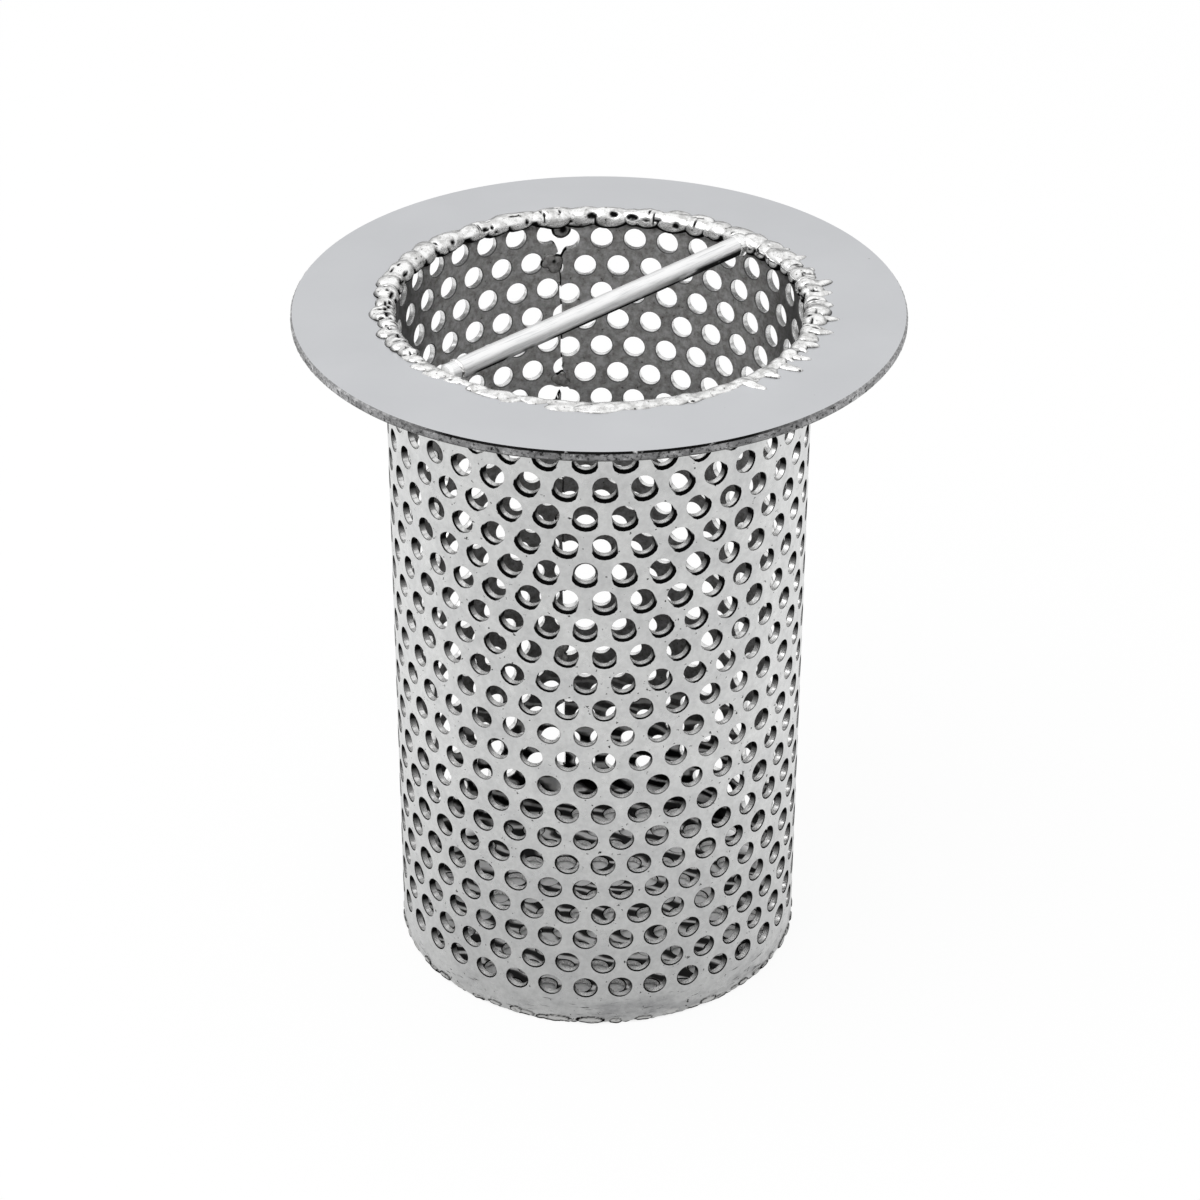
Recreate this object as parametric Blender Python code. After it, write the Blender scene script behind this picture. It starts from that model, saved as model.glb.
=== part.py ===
# Floor drain strainer: a perforated sheet basket that hangs by a flat ring in a floor drain.
# Run with: blender --background --python part.py
# Metres, +Z up. The origin is the centre of the bottom plate's underside.
# Azimuths are measured from +X towards +Y, and the front of the strainer faces -Y.

import math

import bmesh
import bpy
from mathutils import Vector
from mathutils.geometry import delaunay_2d_cdt

# Driving dimensions
BODY_DIAMETER = 0.1056
BODY_HEIGHT = 0.182
FLANGE_DIAMETER = 0.151
FLANGE_THICKNESS = 0.0025
FLANGE_EDGE_BREAK = 0.0002
SHEET_THICKNESS = 0.0018
WELD_CLEARANCE = 0.0003

# Perforation of the sheet: round holes, modelled with few sides but with their real area
HOLE_DIAMETER = 0.006
HOLE_PITCH = 0.009
HOLE_SIDES = 4
FIRST_ROW_DROP = 0.0065
BLANK_BAND = 0.0085
PATTERN_AZIMUTH = math.radians(-88.4)
HOLE_EDGE_WEB = 0.0007
SHEET_SPLIT_GAP = 0.0003

# Rolled body
BODY_TOP_DROP = 0.0012
SEAM_AZIMUTH = math.radians(101.7)
SEAM_GAP = 0.0004

# Seam tacks, one below the other on the inside of the seam, as many as the spacing gives
TACK_FIRST_DROP = 0.0065
TACK_SPACING = 0.048
TACK_LENGTH = 0.0075
TACK_WIDTH = 0.0034
TACK_HEIGHT = 0.0012

# Handle rod across the mouth
ROD_DIAMETER = 0.005
ROD_DROP = 0.001
ROD_AZIMUTH = math.radians(45)
ROD_EDGE_BREAK = 0.0003
ROD_WELD_LEG = 0.0024
ROD_WELD_REACH = 0.0038
ROD_WELD_TOP_SHARE = 0.1
rod_weld_shares = ((0, 1), (0.35, 0.75), (0.75, 0.35), (1, 0))

# Weld beads round the mouth and round the bottom
RIM_WELD_REACH = 0.0036
RIM_WELD_HEIGHT = 0.0011
RIM_WELD_LUMPS = 24
RIM_WELD_LUMP_HEIGHT = 0.0003
rim_weld_shares = ((1, 0), (0.84, 0.6), (0.5, 1), (0.14, 0.6), (0, 0))
BOTTOM_WELD_WIDTH = 0.0009
BOTTOM_WELD_BULGE = 0.0004
BOTTOM_WELD_LUMPS = 20
BOTTOM_WELD_LUMP_HEIGHT = 0.00015

# Fineness of the round pieces
RING_SEGMENTS = 64
ROD_SEGMENTS = 20
POINTS_PER_LUMP = 3
TACK_SIDES = 12
SMOOTH_ANGLE = math.radians(35)

# Finish of each kind of piece: colour and roughness
sheet_finish = ((0.62, 0.62, 0.61), 0.38)
plate_finish = ((0.58, 0.58, 0.57), 0.4)
flange_finish = ((0.66, 0.67, 0.68), 0.3)
rim_weld_finish = ((0.75, 0.75, 0.74), 0.22)
bottom_weld_finish = ((0.55, 0.54, 0.52), 0.45)
tack_finish = ((0.6, 0.6, 0.58), 0.35)
rod_finish = ((0.72, 0.72, 0.71), 0.25)
rod_weld_finish = ((0.74, 0.74, 0.73), 0.25)

# Sizes worked out from the ones above
body_radius = BODY_DIAMETER / 2
bore_radius = body_radius - SHEET_THICKNESS
mid_radius = body_radius - SHEET_THICKNESS / 2
flange_radius = FLANGE_DIAMETER / 2
flange_bore_radius = body_radius + WELD_CLEARANCE
rod_radius = ROD_DIAMETER / 2
hole_radius = HOLE_DIAMETER / 2
row_pitch = HOLE_PITCH * math.sqrt(3) / 2
plate_radius = body_radius - WELD_CLEARANCE - BOTTOM_WELD_WIDTH
body_top = BODY_HEIGHT - BODY_TOP_DROP
body_bottom = SHEET_THICKNESS + WELD_CLEARANCE
first_row_height = BODY_HEIGHT - FIRST_ROW_DROP
first_tack_height = BODY_HEIGHT - TACK_FIRST_DROP
lowest_tack_height = body_bottom + TACK_LENGTH / 2
tack_count = 1 + math.floor((first_tack_height - lowest_tack_height) / TACK_SPACING)

sheet_width = 2 * math.pi * mid_radius - SEAM_GAP
row_count = 1 + math.floor((first_row_height - BLANK_BAND - hole_radius) / row_pitch)
side_angle = 2 * math.pi / HOLE_SIDES
hole_corner_radius = hole_radius * math.sqrt(side_angle / math.sin(side_angle))


def clear_scene():
    for thing in list(bpy.data.objects):
        bpy.data.objects.remove(thing, do_unlink=True)


def steel(name, colour, roughness):
    material = bpy.data.materials.new(name)
    material.use_nodes = True
    shader = material.node_tree.nodes["Principled BSDF"]
    shader.inputs["Base Color"].default_value = (*colour, 1)
    shader.inputs["Metallic"].default_value = 1
    shader.inputs["Roughness"].default_value = roughness
    return material


def add_piece(name, vertices, faces, material, parent):
    mesh = bpy.data.meshes.new(name)
    mesh.from_pydata([tuple(v) for v in vertices], [], faces)
    shape = bmesh.new()
    shape.from_mesh(mesh)
    bmesh.ops.recalc_face_normals(shape, faces=shape.faces)
    shape.to_mesh(mesh)
    shape.free()
    mesh.shade_smooth()
    mesh.set_sharp_from_angle(angle=SMOOTH_ANGLE)
    mesh.materials.append(material)
    piece = bpy.data.objects.new(name, mesh)
    bpy.context.scene.collection.objects.link(piece)
    piece.parent = parent
    return piece


def turned_faces(profile_count, segments):
    faces = []
    for i in range(segments):
        here = i * profile_count
        after = (i + 1) % segments * profile_count
        for j in range(profile_count):
            k = (j + 1) % profile_count
            faces.append((here + j, here + k, after + k, after + j))
    return faces


def turned_ring(profile_at, segments):
    """A closed ring round +Z. profile_at(angle) gives its section there, as (radius, height)."""
    vertices = []
    for i in range(segments):
        angle = 2 * math.pi * i / segments
        for radius, height in profile_at(angle):
            vertices.append((radius * math.cos(angle), radius * math.sin(angle), height))
    return vertices, turned_faces(len(profile_at(0)), segments)


def hole_outline(centre):
    points = []
    for i in range(HOLE_SIDES):
        angle = side_angle * (i + 1 / 2)
        offset = Vector((math.cos(angle), math.sin(angle))) * hole_corner_radius
        points.append(Vector(centre) + offset)
    return points


def perforated_solid(outline, holes, outer, inner):
    """A flat outline with holes, made solid between the surfaces outer(u, v) and inner(u, v)."""
    points = []
    loops = []
    for loop in [outline, *holes]:
        loops.append(list(range(len(points), len(points) + len(loop))))
        points.extend(Vector(p) for p in loop)
    merge_distance = WELD_CLEARANCE / len(points)
    flat, _, triangles, _, _, sources = delaunay_2d_cdt(points, [], loops, 1, merge_distance)
    kept = [t for t, source in zip(triangles, sources) if len(source) == 1]
    count = len(flat)
    vertices = [outer(*p) for p in flat] + [inner(*p) for p in flat]
    faces = [tuple(t) for t in kept]
    faces += [tuple(i + count for i in reversed(t)) for t in kept]
    edges = set()
    for a, b, c in kept:
        edges |= {(a, b), (b, c), (c, a)}
    faces += [(b, a, a + count, b + count) for a, b in edges if (b, a) not in edges]
    used = sorted({i for face in faces for i in face})
    place = {old: new for new, old in enumerate(used)}
    return [vertices[i] for i in used], [tuple(place[i] for i in face) for face in faces]


def rolled_point(radius):
    """Maps a point of the flat sheet, with u from the seam edge, onto a cylinder."""
    def place(u, height):
        angle = SEAM_AZIMUTH + (u + SEAM_GAP / 2) / mid_radius
        return radius * math.cos(angle), radius * math.sin(angle), height
    return place


def rolled_sheet(low, high, rows):
    """One height of the rolled body, from low to high, with the whole holes of the given rows."""
    along = [sheet_width * i / RING_SEGMENTS for i in range(RING_SEGMENTS + 1)]
    outline = [(u, low) for u in along] + [(u, high) for u in reversed(along)]
    margin = hole_radius + HOLE_EDGE_WEB
    pattern_start = (PATTERN_AZIMUTH - SEAM_AZIMUTH) % (2 * math.pi) * mid_radius - SEAM_GAP / 2
    holes = []
    for row in rows:
        height = first_row_height - row * row_pitch
        shift = (pattern_start + HOLE_PITCH / 2 * (row % 2)) % HOLE_PITCH
        for column in range(math.ceil(sheet_width / HOLE_PITCH)):
            u = shift + column * HOLE_PITCH
            if margin < u < sheet_width - margin:
                holes.append(hole_outline((u, height)))
    return perforated_solid(outline, holes, rolled_point(body_radius), rolled_point(bore_radius))


def body_shells(parent):
    """The rolled body as two solids, split between two rows of holes."""
    middle = row_count // 2
    split = first_row_height - (middle - 1 / 2) * row_pitch
    spans = (
        ("basket_shell_upper", split + SHEET_SPLIT_GAP / 2, body_top, range(middle)),
        ("basket_shell_lower", body_bottom, split - SHEET_SPLIT_GAP / 2, range(middle, row_count)),
    )
    for name, low, high, rows in spans:
        vertices, faces = rolled_sheet(low, high, rows)
        add_piece(name, vertices, faces, steel(name, *sheet_finish), parent)


def bottom_plate(parent):
    outline = []
    for i in range(RING_SEGMENTS):
        angle = 2 * math.pi * i / RING_SEGMENTS
        outline.append((plate_radius * math.cos(angle), plate_radius * math.sin(angle)))
    reach = plate_radius - hole_radius - HOLE_EDGE_WEB
    holes = []
    rows = math.floor(reach / row_pitch)
    columns = math.ceil(reach / HOLE_PITCH)
    for row in range(-rows, rows + 1):
        for column in range(-columns, columns + 1):
            centre = Vector((HOLE_PITCH * (column + row % 2 / 2), row_pitch * row))
            if centre.length < reach:
                holes.append(hole_outline(centre))
    vertices, faces = perforated_solid(
        outline, holes, lambda x, y: (x, y, SHEET_THICKNESS), lambda x, y: (x, y, 0))
    add_piece("bottom_plate", vertices, faces, steel("bottom_plate", *plate_finish), parent)


def flange_ring(parent):
    low = BODY_HEIGHT - FLANGE_THICKNESS
    cut = FLANGE_EDGE_BREAK
    section = (
        (flange_bore_radius, low),
        (flange_radius - cut, low),
        (flange_radius, low + cut),
        (flange_radius, BODY_HEIGHT - cut),
        (flange_radius - cut, BODY_HEIGHT),
        (flange_bore_radius, BODY_HEIGHT),
    )
    vertices, faces = turned_ring(lambda angle: section, RING_SEGMENTS)
    add_piece("flange_ring", vertices, faces, steel("flange_ring", *flange_finish), parent)


def lump(angle, lumps):
    """From 0 in the valleys of a bead to 1 on its lumps, one of which is at angle 0."""
    return (1 + math.cos(lumps * angle)) / 2


def rim_weld(parent):
    """The bead that joins the body's top edge to the flange, rooted in the groove between them."""
    root = body_top + WELD_CLEARANCE
    seat = BODY_HEIGHT + WELD_CLEARANCE
    across = body_radius + RIM_WELD_REACH - bore_radius

    def section(angle):
        height = RIM_WELD_HEIGHT - RIM_WELD_LUMP_HEIGHT * (1 - lump(angle, RIM_WELD_LUMPS))
        crown = [(bore_radius + across * out, seat + height * up) for out, up in rim_weld_shares]
        return [(bore_radius, root), (body_radius, root), (body_radius, seat), *crown]
    vertices, faces = turned_ring(section, RIM_WELD_LUMPS * POINTS_PER_LUMP)
    add_piece("rim_weld", vertices, faces, steel("rim_weld", *rim_weld_finish), parent)


def bottom_weld(parent):
    """The bead in the corner between the bottom plate's edge and the body's lower edge."""
    inside = plate_radius + WELD_CLEARANCE
    high = body_bottom - WELD_CLEARANCE

    def section(angle):
        outside = body_radius + BOTTOM_WELD_BULGE - BOTTOM_WELD_LUMP_HEIGHT
        outside += BOTTOM_WELD_LUMP_HEIGHT * lump(angle, BOTTOM_WELD_LUMPS)
        return (
            (inside, 0),
            (body_radius, 0),
            (outside, high / 3),
            (outside, high * 2 / 3),
            (body_radius, high),
            (inside, high),
        )
    vertices, faces = turned_ring(section, BOTTOM_WELD_LUMPS * POINTS_PER_LUMP)
    add_piece("bottom_weld", vertices, faces, steel("bottom_weld", *bottom_weld_finish), parent)


def seam_tacks(parent):
    """Beads on the inside of the seam. Each is a low dome, long along the seam."""
    dome_shares = ((1, 0), (0.8, 0.6), (0.4, 0.95))
    sag = bore_radius - math.sqrt(bore_radius ** 2 - (TACK_WIDTH / 2) ** 2)
    seat = bore_radius - WELD_CLEARANCE - sag
    for number in range(tack_count):
        height = first_tack_height - number * TACK_SPACING
        vertices = [(0, 0, 0)]
        for spread, rise in dome_shares:
            for i in range(TACK_SIDES):
                angle = 2 * math.pi * i / TACK_SIDES
                across = TACK_WIDTH / 2 * spread * math.cos(angle)
                along = TACK_LENGTH / 2 * spread * math.sin(angle)
                vertices.append((-TACK_HEIGHT * rise, across, along))
        vertices.append((-TACK_HEIGHT, 0, 0))
        top = len(vertices) - 1
        faces = []
        for i in range(TACK_SIDES):
            j = (i + 1) % TACK_SIDES
            faces.append((0, 1 + i, 1 + j))
            for ring in range(len(dome_shares) - 1):
                low = 1 + ring * TACK_SIDES
                faces.append((low + i, low + TACK_SIDES + i, low + TACK_SIDES + j, low + j))
            last = 1 + (len(dome_shares) - 1) * TACK_SIDES
            faces.append((last + i, top, last + j))
        name = f"seam_tack_{number + 1}"
        tack = add_piece(name, vertices, faces, steel(name, *tack_finish), parent)
        tack.location = (seat * math.cos(SEAM_AZIMUTH), seat * math.sin(SEAM_AZIMUTH), height)
        tack.rotation_euler.z = SEAM_AZIMUTH


def rod_end():
    """Half the rod's length: its flat end stays clear of the round bore."""
    return math.sqrt((bore_radius - WELD_CLEARANCE) ** 2 - rod_radius ** 2)


def handle_rod(parent):
    reach = rod_end()
    cut = ROD_EDGE_BREAK
    stations = ((-reach, rod_radius - cut), (cut - reach, rod_radius), (reach - cut, rod_radius),
                (reach, rod_radius - cut))
    vertices = []
    for along, radius in stations:
        for i in range(ROD_SEGMENTS):
            angle = 2 * math.pi * i / ROD_SEGMENTS
            vertices.append((along, radius * math.cos(angle), radius * math.sin(angle)))
    faces = [tuple(range(ROD_SEGMENTS))]
    for ring in range(len(stations) - 1):
        low = ring * ROD_SEGMENTS
        for i in range(ROD_SEGMENTS):
            j = (i + 1) % ROD_SEGMENTS
            faces.append((low + i, low + j, low + ROD_SEGMENTS + j, low + ROD_SEGMENTS + i))
    faces.append(tuple(reversed(range(len(vertices) - ROD_SEGMENTS, len(vertices)))))
    rod = add_piece("handle_rod", vertices, faces, steel("handle_rod", *rod_finish), parent)
    rod.location.z = BODY_HEIGHT - ROD_DROP
    rod.rotation_euler.z = ROD_AZIMUTH


def rod_weld(name, azimuth, parent):
    """A collar of weld round one end of the rod, thin on top and full below."""
    inside = rod_radius + WELD_CLEARANCE
    widest = inside + ROD_WELD_LEG
    face = math.sqrt((bore_radius - WELD_CLEARANCE) ** 2 - widest ** 2)

    def section(angle):
        fullness = 1 - (1 - ROD_WELD_TOP_SHARE) * lump(angle, 1)
        leg = ROD_WELD_LEG * fullness
        reach = ROD_WELD_REACH * fullness
        fillet = [(inside + leg * out, face - reach * along) for out, along in rod_weld_shares]
        return [*fillet, (inside, face)]
    ring, faces = turned_ring(section, ROD_SEGMENTS)
    vertices = [(along, y, x) for x, y, along in ring]
    weld = add_piece(name, vertices, faces, steel(name, *rod_weld_finish), parent)
    weld.location.z = BODY_HEIGHT - ROD_DROP
    weld.rotation_euler.z = azimuth


def main():
    clear_scene()
    strainer = bpy.data.objects.new("strainer", None)
    bpy.context.scene.collection.objects.link(strainer)
    flange_ring(strainer)
    body_shells(strainer)
    bottom_plate(strainer)
    rim_weld(strainer)
    bottom_weld(strainer)
    seam_tacks(strainer)
    handle_rod(strainer)
    rod_weld("handle_weld_back", ROD_AZIMUTH, strainer)
    rod_weld("handle_weld_front", ROD_AZIMUTH + math.pi, strainer)


main()
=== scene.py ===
# Floor drain strainer: finish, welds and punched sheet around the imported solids.
# Everything is in metres, +Z up. Angles run from +X towards +Y, in degrees, and the front faces -Y.

import math
import random

import bmesh
import bpy
import numpy as np
from mathutils import Matrix, Vector
from mathutils.geometry import delaunay_2d_cdt


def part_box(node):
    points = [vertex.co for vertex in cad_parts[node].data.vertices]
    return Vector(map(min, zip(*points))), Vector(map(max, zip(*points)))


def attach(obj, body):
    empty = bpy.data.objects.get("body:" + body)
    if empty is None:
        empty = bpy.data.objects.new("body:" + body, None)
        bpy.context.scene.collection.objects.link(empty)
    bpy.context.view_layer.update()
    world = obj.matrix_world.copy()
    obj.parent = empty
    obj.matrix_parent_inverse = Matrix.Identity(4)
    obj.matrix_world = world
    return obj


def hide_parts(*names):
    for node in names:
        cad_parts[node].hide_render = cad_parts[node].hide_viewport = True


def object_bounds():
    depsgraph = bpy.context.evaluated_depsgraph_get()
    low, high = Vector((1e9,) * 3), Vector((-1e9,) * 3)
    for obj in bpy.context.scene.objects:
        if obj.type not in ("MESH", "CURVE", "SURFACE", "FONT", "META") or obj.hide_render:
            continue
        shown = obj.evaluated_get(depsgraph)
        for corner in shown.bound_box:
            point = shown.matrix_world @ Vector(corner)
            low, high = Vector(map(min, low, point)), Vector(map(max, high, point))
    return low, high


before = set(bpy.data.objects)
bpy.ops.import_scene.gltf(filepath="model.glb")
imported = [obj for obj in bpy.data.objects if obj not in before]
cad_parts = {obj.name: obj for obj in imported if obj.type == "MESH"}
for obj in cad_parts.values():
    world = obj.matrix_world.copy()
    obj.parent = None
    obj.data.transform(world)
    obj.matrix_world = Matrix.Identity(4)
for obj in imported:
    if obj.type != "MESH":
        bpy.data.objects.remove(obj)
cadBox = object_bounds()
mm = 0.001


def distancesFromAxis(node):
    return [math.hypot(v.co.x, v.co.y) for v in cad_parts[node].data.vertices]


# sizes read from the solids
ringUnder, ringTop = (corner.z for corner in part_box("flange_ring"))
ringRadius = max(distancesFromAxis("flange_ring"))
ringBore = min(distancesFromAxis("flange_ring"))
bodyRadius = max(distancesFromAxis("basket_shell_upper"))
boreRadius = min(distancesFromAxis("basket_shell_upper"))
midRadius = (bodyRadius + boreRadius) / 2
sheetGauge = bodyRadius - boreRadius
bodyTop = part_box("basket_shell_upper")[1].z
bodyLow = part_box("basket_shell_lower")[0].z
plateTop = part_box("bottom_plate")[1].z
plateRadius = max(distancesFromAxis("bottom_plate"))
rodLow, rodHigh = (corner.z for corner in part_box("handle_rod"))
rodMiddle = (rodLow + rodHigh) / 2
topLimit = cadBox[1].z
print("strainer: solids loaded, body radius", round(bodyRadius / mm, 2), "mm")


def meshOf(name, vertices, faces):
    mesh = bpy.data.meshes.new(name)
    mesh.from_pydata(vertices, [], faces)
    return mesh


def placed(name, data, *materials):
    for material in materials:
        data.materials.append(material)
    piece = bpy.data.objects.new(name, data)
    bpy.context.scene.collection.objects.link(piece)
    return piece


# the camera stands where the photograph was taken from
shot = {
    "position": (0.00041, -0.72864, 0.54407),
    "target": (0.00041, 0, 0.09677),
    "roll": 0.16,
    "lens": 99.32,
    "film": 36,
    "nearest": 0.01,
}


def placeCamera():
    camera = placed("camera", bpy.data.cameras.new("camera"))
    camera.data.lens = shot["lens"]
    camera.data.sensor_width = shot["film"]
    camera.data.clip_start = shot["nearest"]
    look = Vector(shot["target"]) - Vector(shot["position"])
    turn = look.to_track_quat("-Z", "Y").to_matrix().to_4x4()
    roll = Matrix.Rotation(math.radians(shot["roll"]), 4, "Z")
    camera.matrix_world = Matrix.Translation(shot["position"]) @ turn @ roll
    bpy.context.scene.camera = camera


placeCamera()


# node material helpers
class Nodes:
    def __init__(self, tree, space="Object"):
        self.tree = tree
        self.place = self.add("ShaderNodeTexCoord").outputs[space]

    def add(self, kind, **settings):
        node = self.tree.nodes.new(kind)
        for key, value in settings.items():
            setattr(node, key, value)
        return node

    def feed(self, source, target):
        # a number or a colour is set on the socket itself
        if isinstance(source, (int, float)):
            target.default_value = source
        elif isinstance(source, tuple):
            target.default_value = (*source, 1)
        else:
            self.tree.links.new(source, target)

    def stretched(self, scale):
        if scale is None:
            return self.place
        mapping = self.add("ShaderNodeMapping")
        mapping.inputs["Scale"].default_value = scale
        self.feed(self.place, mapping.inputs["Vector"])
        return mapping.outputs["Vector"]

    def cloud(self, size, detail=3, rough=0.55, stretch=None):
        # noise whose patches are about this size, in metres
        node = self.add("ShaderNodeTexNoise")
        values = {"Scale": 1 / size, "Detail": detail, "Roughness": rough, "Vector": self.stretched(stretch)}
        for name, value in values.items():
            self.feed(value, node.inputs[name])
        return node.outputs["Fac"]

    def level(self, source, low, high, toLow=0.0, toHigh=1.0):
        node = self.add("ShaderNodeMapRange", clamp=True)
        values = {"Value": source, "From Min": low, "From Max": high, "To Min": toLow, "To Max": toHigh}
        for name, value in values.items():
            self.feed(value, node.inputs[name])
        return node.outputs["Result"]

    def patches(self, cloud, levels):
        return self.level(self.cloud(*cloud), *levels)

    def combine(self, kind, first, second=0):
        node = self.add("ShaderNodeMath", operation=kind)
        self.feed(first, node.inputs[0])
        self.feed(second, node.inputs[1])
        return node.outputs["Value"]

    def times(self, first, second):
        return self.combine("MULTIPLY", first, second)

    def most(self, first, second):
        return self.combine("MAXIMUM", first, second)

    def blend(self, amount, first, second, kind="MIX"):
        node = self.add("ShaderNodeMix", data_type="RGBA", blend_type=kind)
        for name, value in (("Factor", amount), ("A", first), ("B", second)):
            self.feed(value, node.inputs[name])
        return node.outputs["Result"]

    def darkened(self, colour, *factors):
        for factor in factors:
            colour = self.blend(1, colour, factor, "MULTIPLY")
        return colour

    def side(self, axis):
        split = self.add("ShaderNodeSeparateXYZ")
        self.feed(self.place, split.inputs["Vector"])
        return split.outputs[axis]

    def aside(self, *levels):
        # by the distance to the left or the right of the middle
        return self.level(self.combine("ABSOLUTE", self.side("X")), *levels)


# the shade attribute's look: near black and rough, for painted shade and painted reflection, partly oxide
shadeAndSootLook = {"colour": (0.008, 0.008, 0.008), "roughness": 0.8}


class Finish(Nodes):
    def __init__(self, name, roughness, metallic=1.0):
        self.material = bpy.data.materials.new(name)
        self.material.use_nodes = True
        super().__init__(self.material.node_tree)
        self.shader = self.tree.nodes["Principled BSDF"].inputs
        self.feed(metallic, self.shader["Metallic"])
        self.feed(roughness, self.shader["Roughness"])

    def paint(self, base, rough=None):
        self.feed(base, self.shader["Base Color"])
        if rough is not None:
            self.feed(rough, self.shader["Roughness"])

    def shadedAndSooted(self, base, rough, amount=None, black=shadeAndSootLook["colour"]):
        # steel darkened by an amount, by default the shade attribute: painted shade and painted reflection,
        # partly oxide, with no sheen at its edges
        if amount is None:
            amount = self.add("ShaderNodeAttribute", attribute_name="shadeAndSoot").outputs["Fac"]
        rough = self.most(rough, self.times(amount, shadeAndSootLook["roughness"]))
        self.paint(self.blend(amount, base, black), rough)
        self.feed(self.blend(amount, (1.0, 1.0, 1.0), (0.0, 0.0, 0.0)), self.shader["Specular Tint"])

    def grain(self, cloud, depth):
        node = self.add("ShaderNodeBump")
        for name, value in (("Strength", 1), ("Distance", depth), ("Height", self.cloud(*cloud))):
            self.feed(value, node.inputs[name])
        self.feed(node.outputs["Normal"], self.shader["Normal"])


def mottledSteel(name, look):
    # patches of two colours; specks, broken roughness, painted shade from the shade attribute and grain where
    # the look has them
    finish = Finish(name, look["roughness"], look.get("metallic", 1.0))
    base = finish.blend(finish.patches(*look["patches"]), *look["colours"])
    if "specks" in look:
        base = finish.blend(finish.patches(*look["specks"]), base, look["speck"])
    rough = finish.patches(*look["rough"]) if "rough" in look else None
    if look.get("shadedAndSooted"):
        finish.shadedAndSooted(base, rough)
    else:
        finish.paint(base, rough)
    if "grain" in look:
        finish.grain(*look["grain"])
    return finish.material


# a look's patches, specks and the like pair a cloud with its levels: the cloud has a size, a detail, a
# roughness and a stretch, and the levels are its low and high, followed by what these become
outsideLook = {
    "roughness": 0.30,
    "colours": ((0.72, 0.725, 0.72), (0.64, 0.645, 0.645)),
    "patches": ((0.012,), (0.38, 0.66)),
    # front and low darken the colour as painted shade, at the front and towards the bottom
    "front": (-bodyRadius, -0.030, 0.82, 1.0),
    "low": (0, 0.075, 0.70, 1.0),
    "fine": ((0.0016, 5, 0.7), (0.32, 0.68, 0.90, 1.10)),
    "ground": (0.0085, 0.0065),
    "smudge": (0.20, 0.20, 0.205),
    "smudges": ((0.007, 5, 0.7, (0.4, 0.4, 1)), (0.50, 0.66, 0.0, 0.65)),
    "speck": (0.04, 0.04, 0.04),
    "specks": ((0.0013, 3, 0.6), (0.68, 0.70)),
    "scratches": ((0.0009, 4, 0.65, (0.16, 0.16, 1.6)), (0.61, 0.68)),
    "rough": ((0.004,), (0.3, 0.7, 0.24, 0.38)),
    "grain": ((0.00035, 4), 0.000012),
}


def outsideSteel(look):
    # painted shade: darker at the front and towards the bottom; ground and scratched along the lower edge
    finish = Finish("sheet_outside", look["roughness"])
    base = finish.blend(finish.patches(*look["patches"]), *look["colours"])
    # painted shade at the front and towards the bottom
    front = finish.level(finish.side("Y"), *look["front"])
    low = finish.level(finish.side("Z"), *look["low"])
    base = finish.darkened(base, front, low, finish.patches(*look["fine"]))
    ground = finish.level(finish.side("Z"), *look["ground"])
    base = finish.blend(finish.times(finish.patches(*look["smudges"]), ground), base, look["smudge"])
    scratches = finish.times(finish.patches(*look["scratches"]), ground)
    base = finish.blend(finish.most(finish.patches(*look["specks"]), scratches), base, look["speck"])
    finish.shadedAndSooted(base, finish.patches(*look["rough"]))
    finish.grain(*look["grain"])
    return finish.material


insideLook = {
    "roughness": 0.40,
    "colours": ((0.57, 0.568, 0.572), (0.27, 0.262, 0.252)),
    "patches": ((0.0018, 6, 0.75), (0.38, 0.62)),
    "dim": (0.108, 0.140, 0.40, 1.0),
    "swirl": {"Scale": 150, "Distortion": 7, "Detail": 1, "Detail Scale": 1.2},
    "swirlStretch": (0.35, 0.8, 1),
    "streaks": {
        "sheet_inside": ((0.008, 0.008, 0.008), (0.95, 0.95, 0.95)),
        "disc_top": ((0.02, 0.02, 0.02), (0.8, 0.8, 0.8)),
    },
    "streakPale": (0.66, 0.90),
    "streakDark": (0.60, 0.34),
    "deep": (0.044, 0.020),
    "speck": (0.04, 0.04, 0.04),
    "specks": ((0.0009, 2, 0.5), (0.70, 0.76)),
    "burnt": (ringTop - 4.4 * mm, ringTop - 2.2 * mm),
    "ragged": ((0.004, 4, 0.6), (0.38, 0.56)),
    "oxide": (0.03, 0.028, 0.026),
    "aside": (0.0395, 0.0485),
    "high": (0.130, 0.160),
    "asideShade": (0, 1, 1.0, 0.22),
    "rough": ((0.003,), (0.3, 0.7, 0.34, 0.48)),
    "grain": ((0.00035, 4), 0.00002),
}


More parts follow.
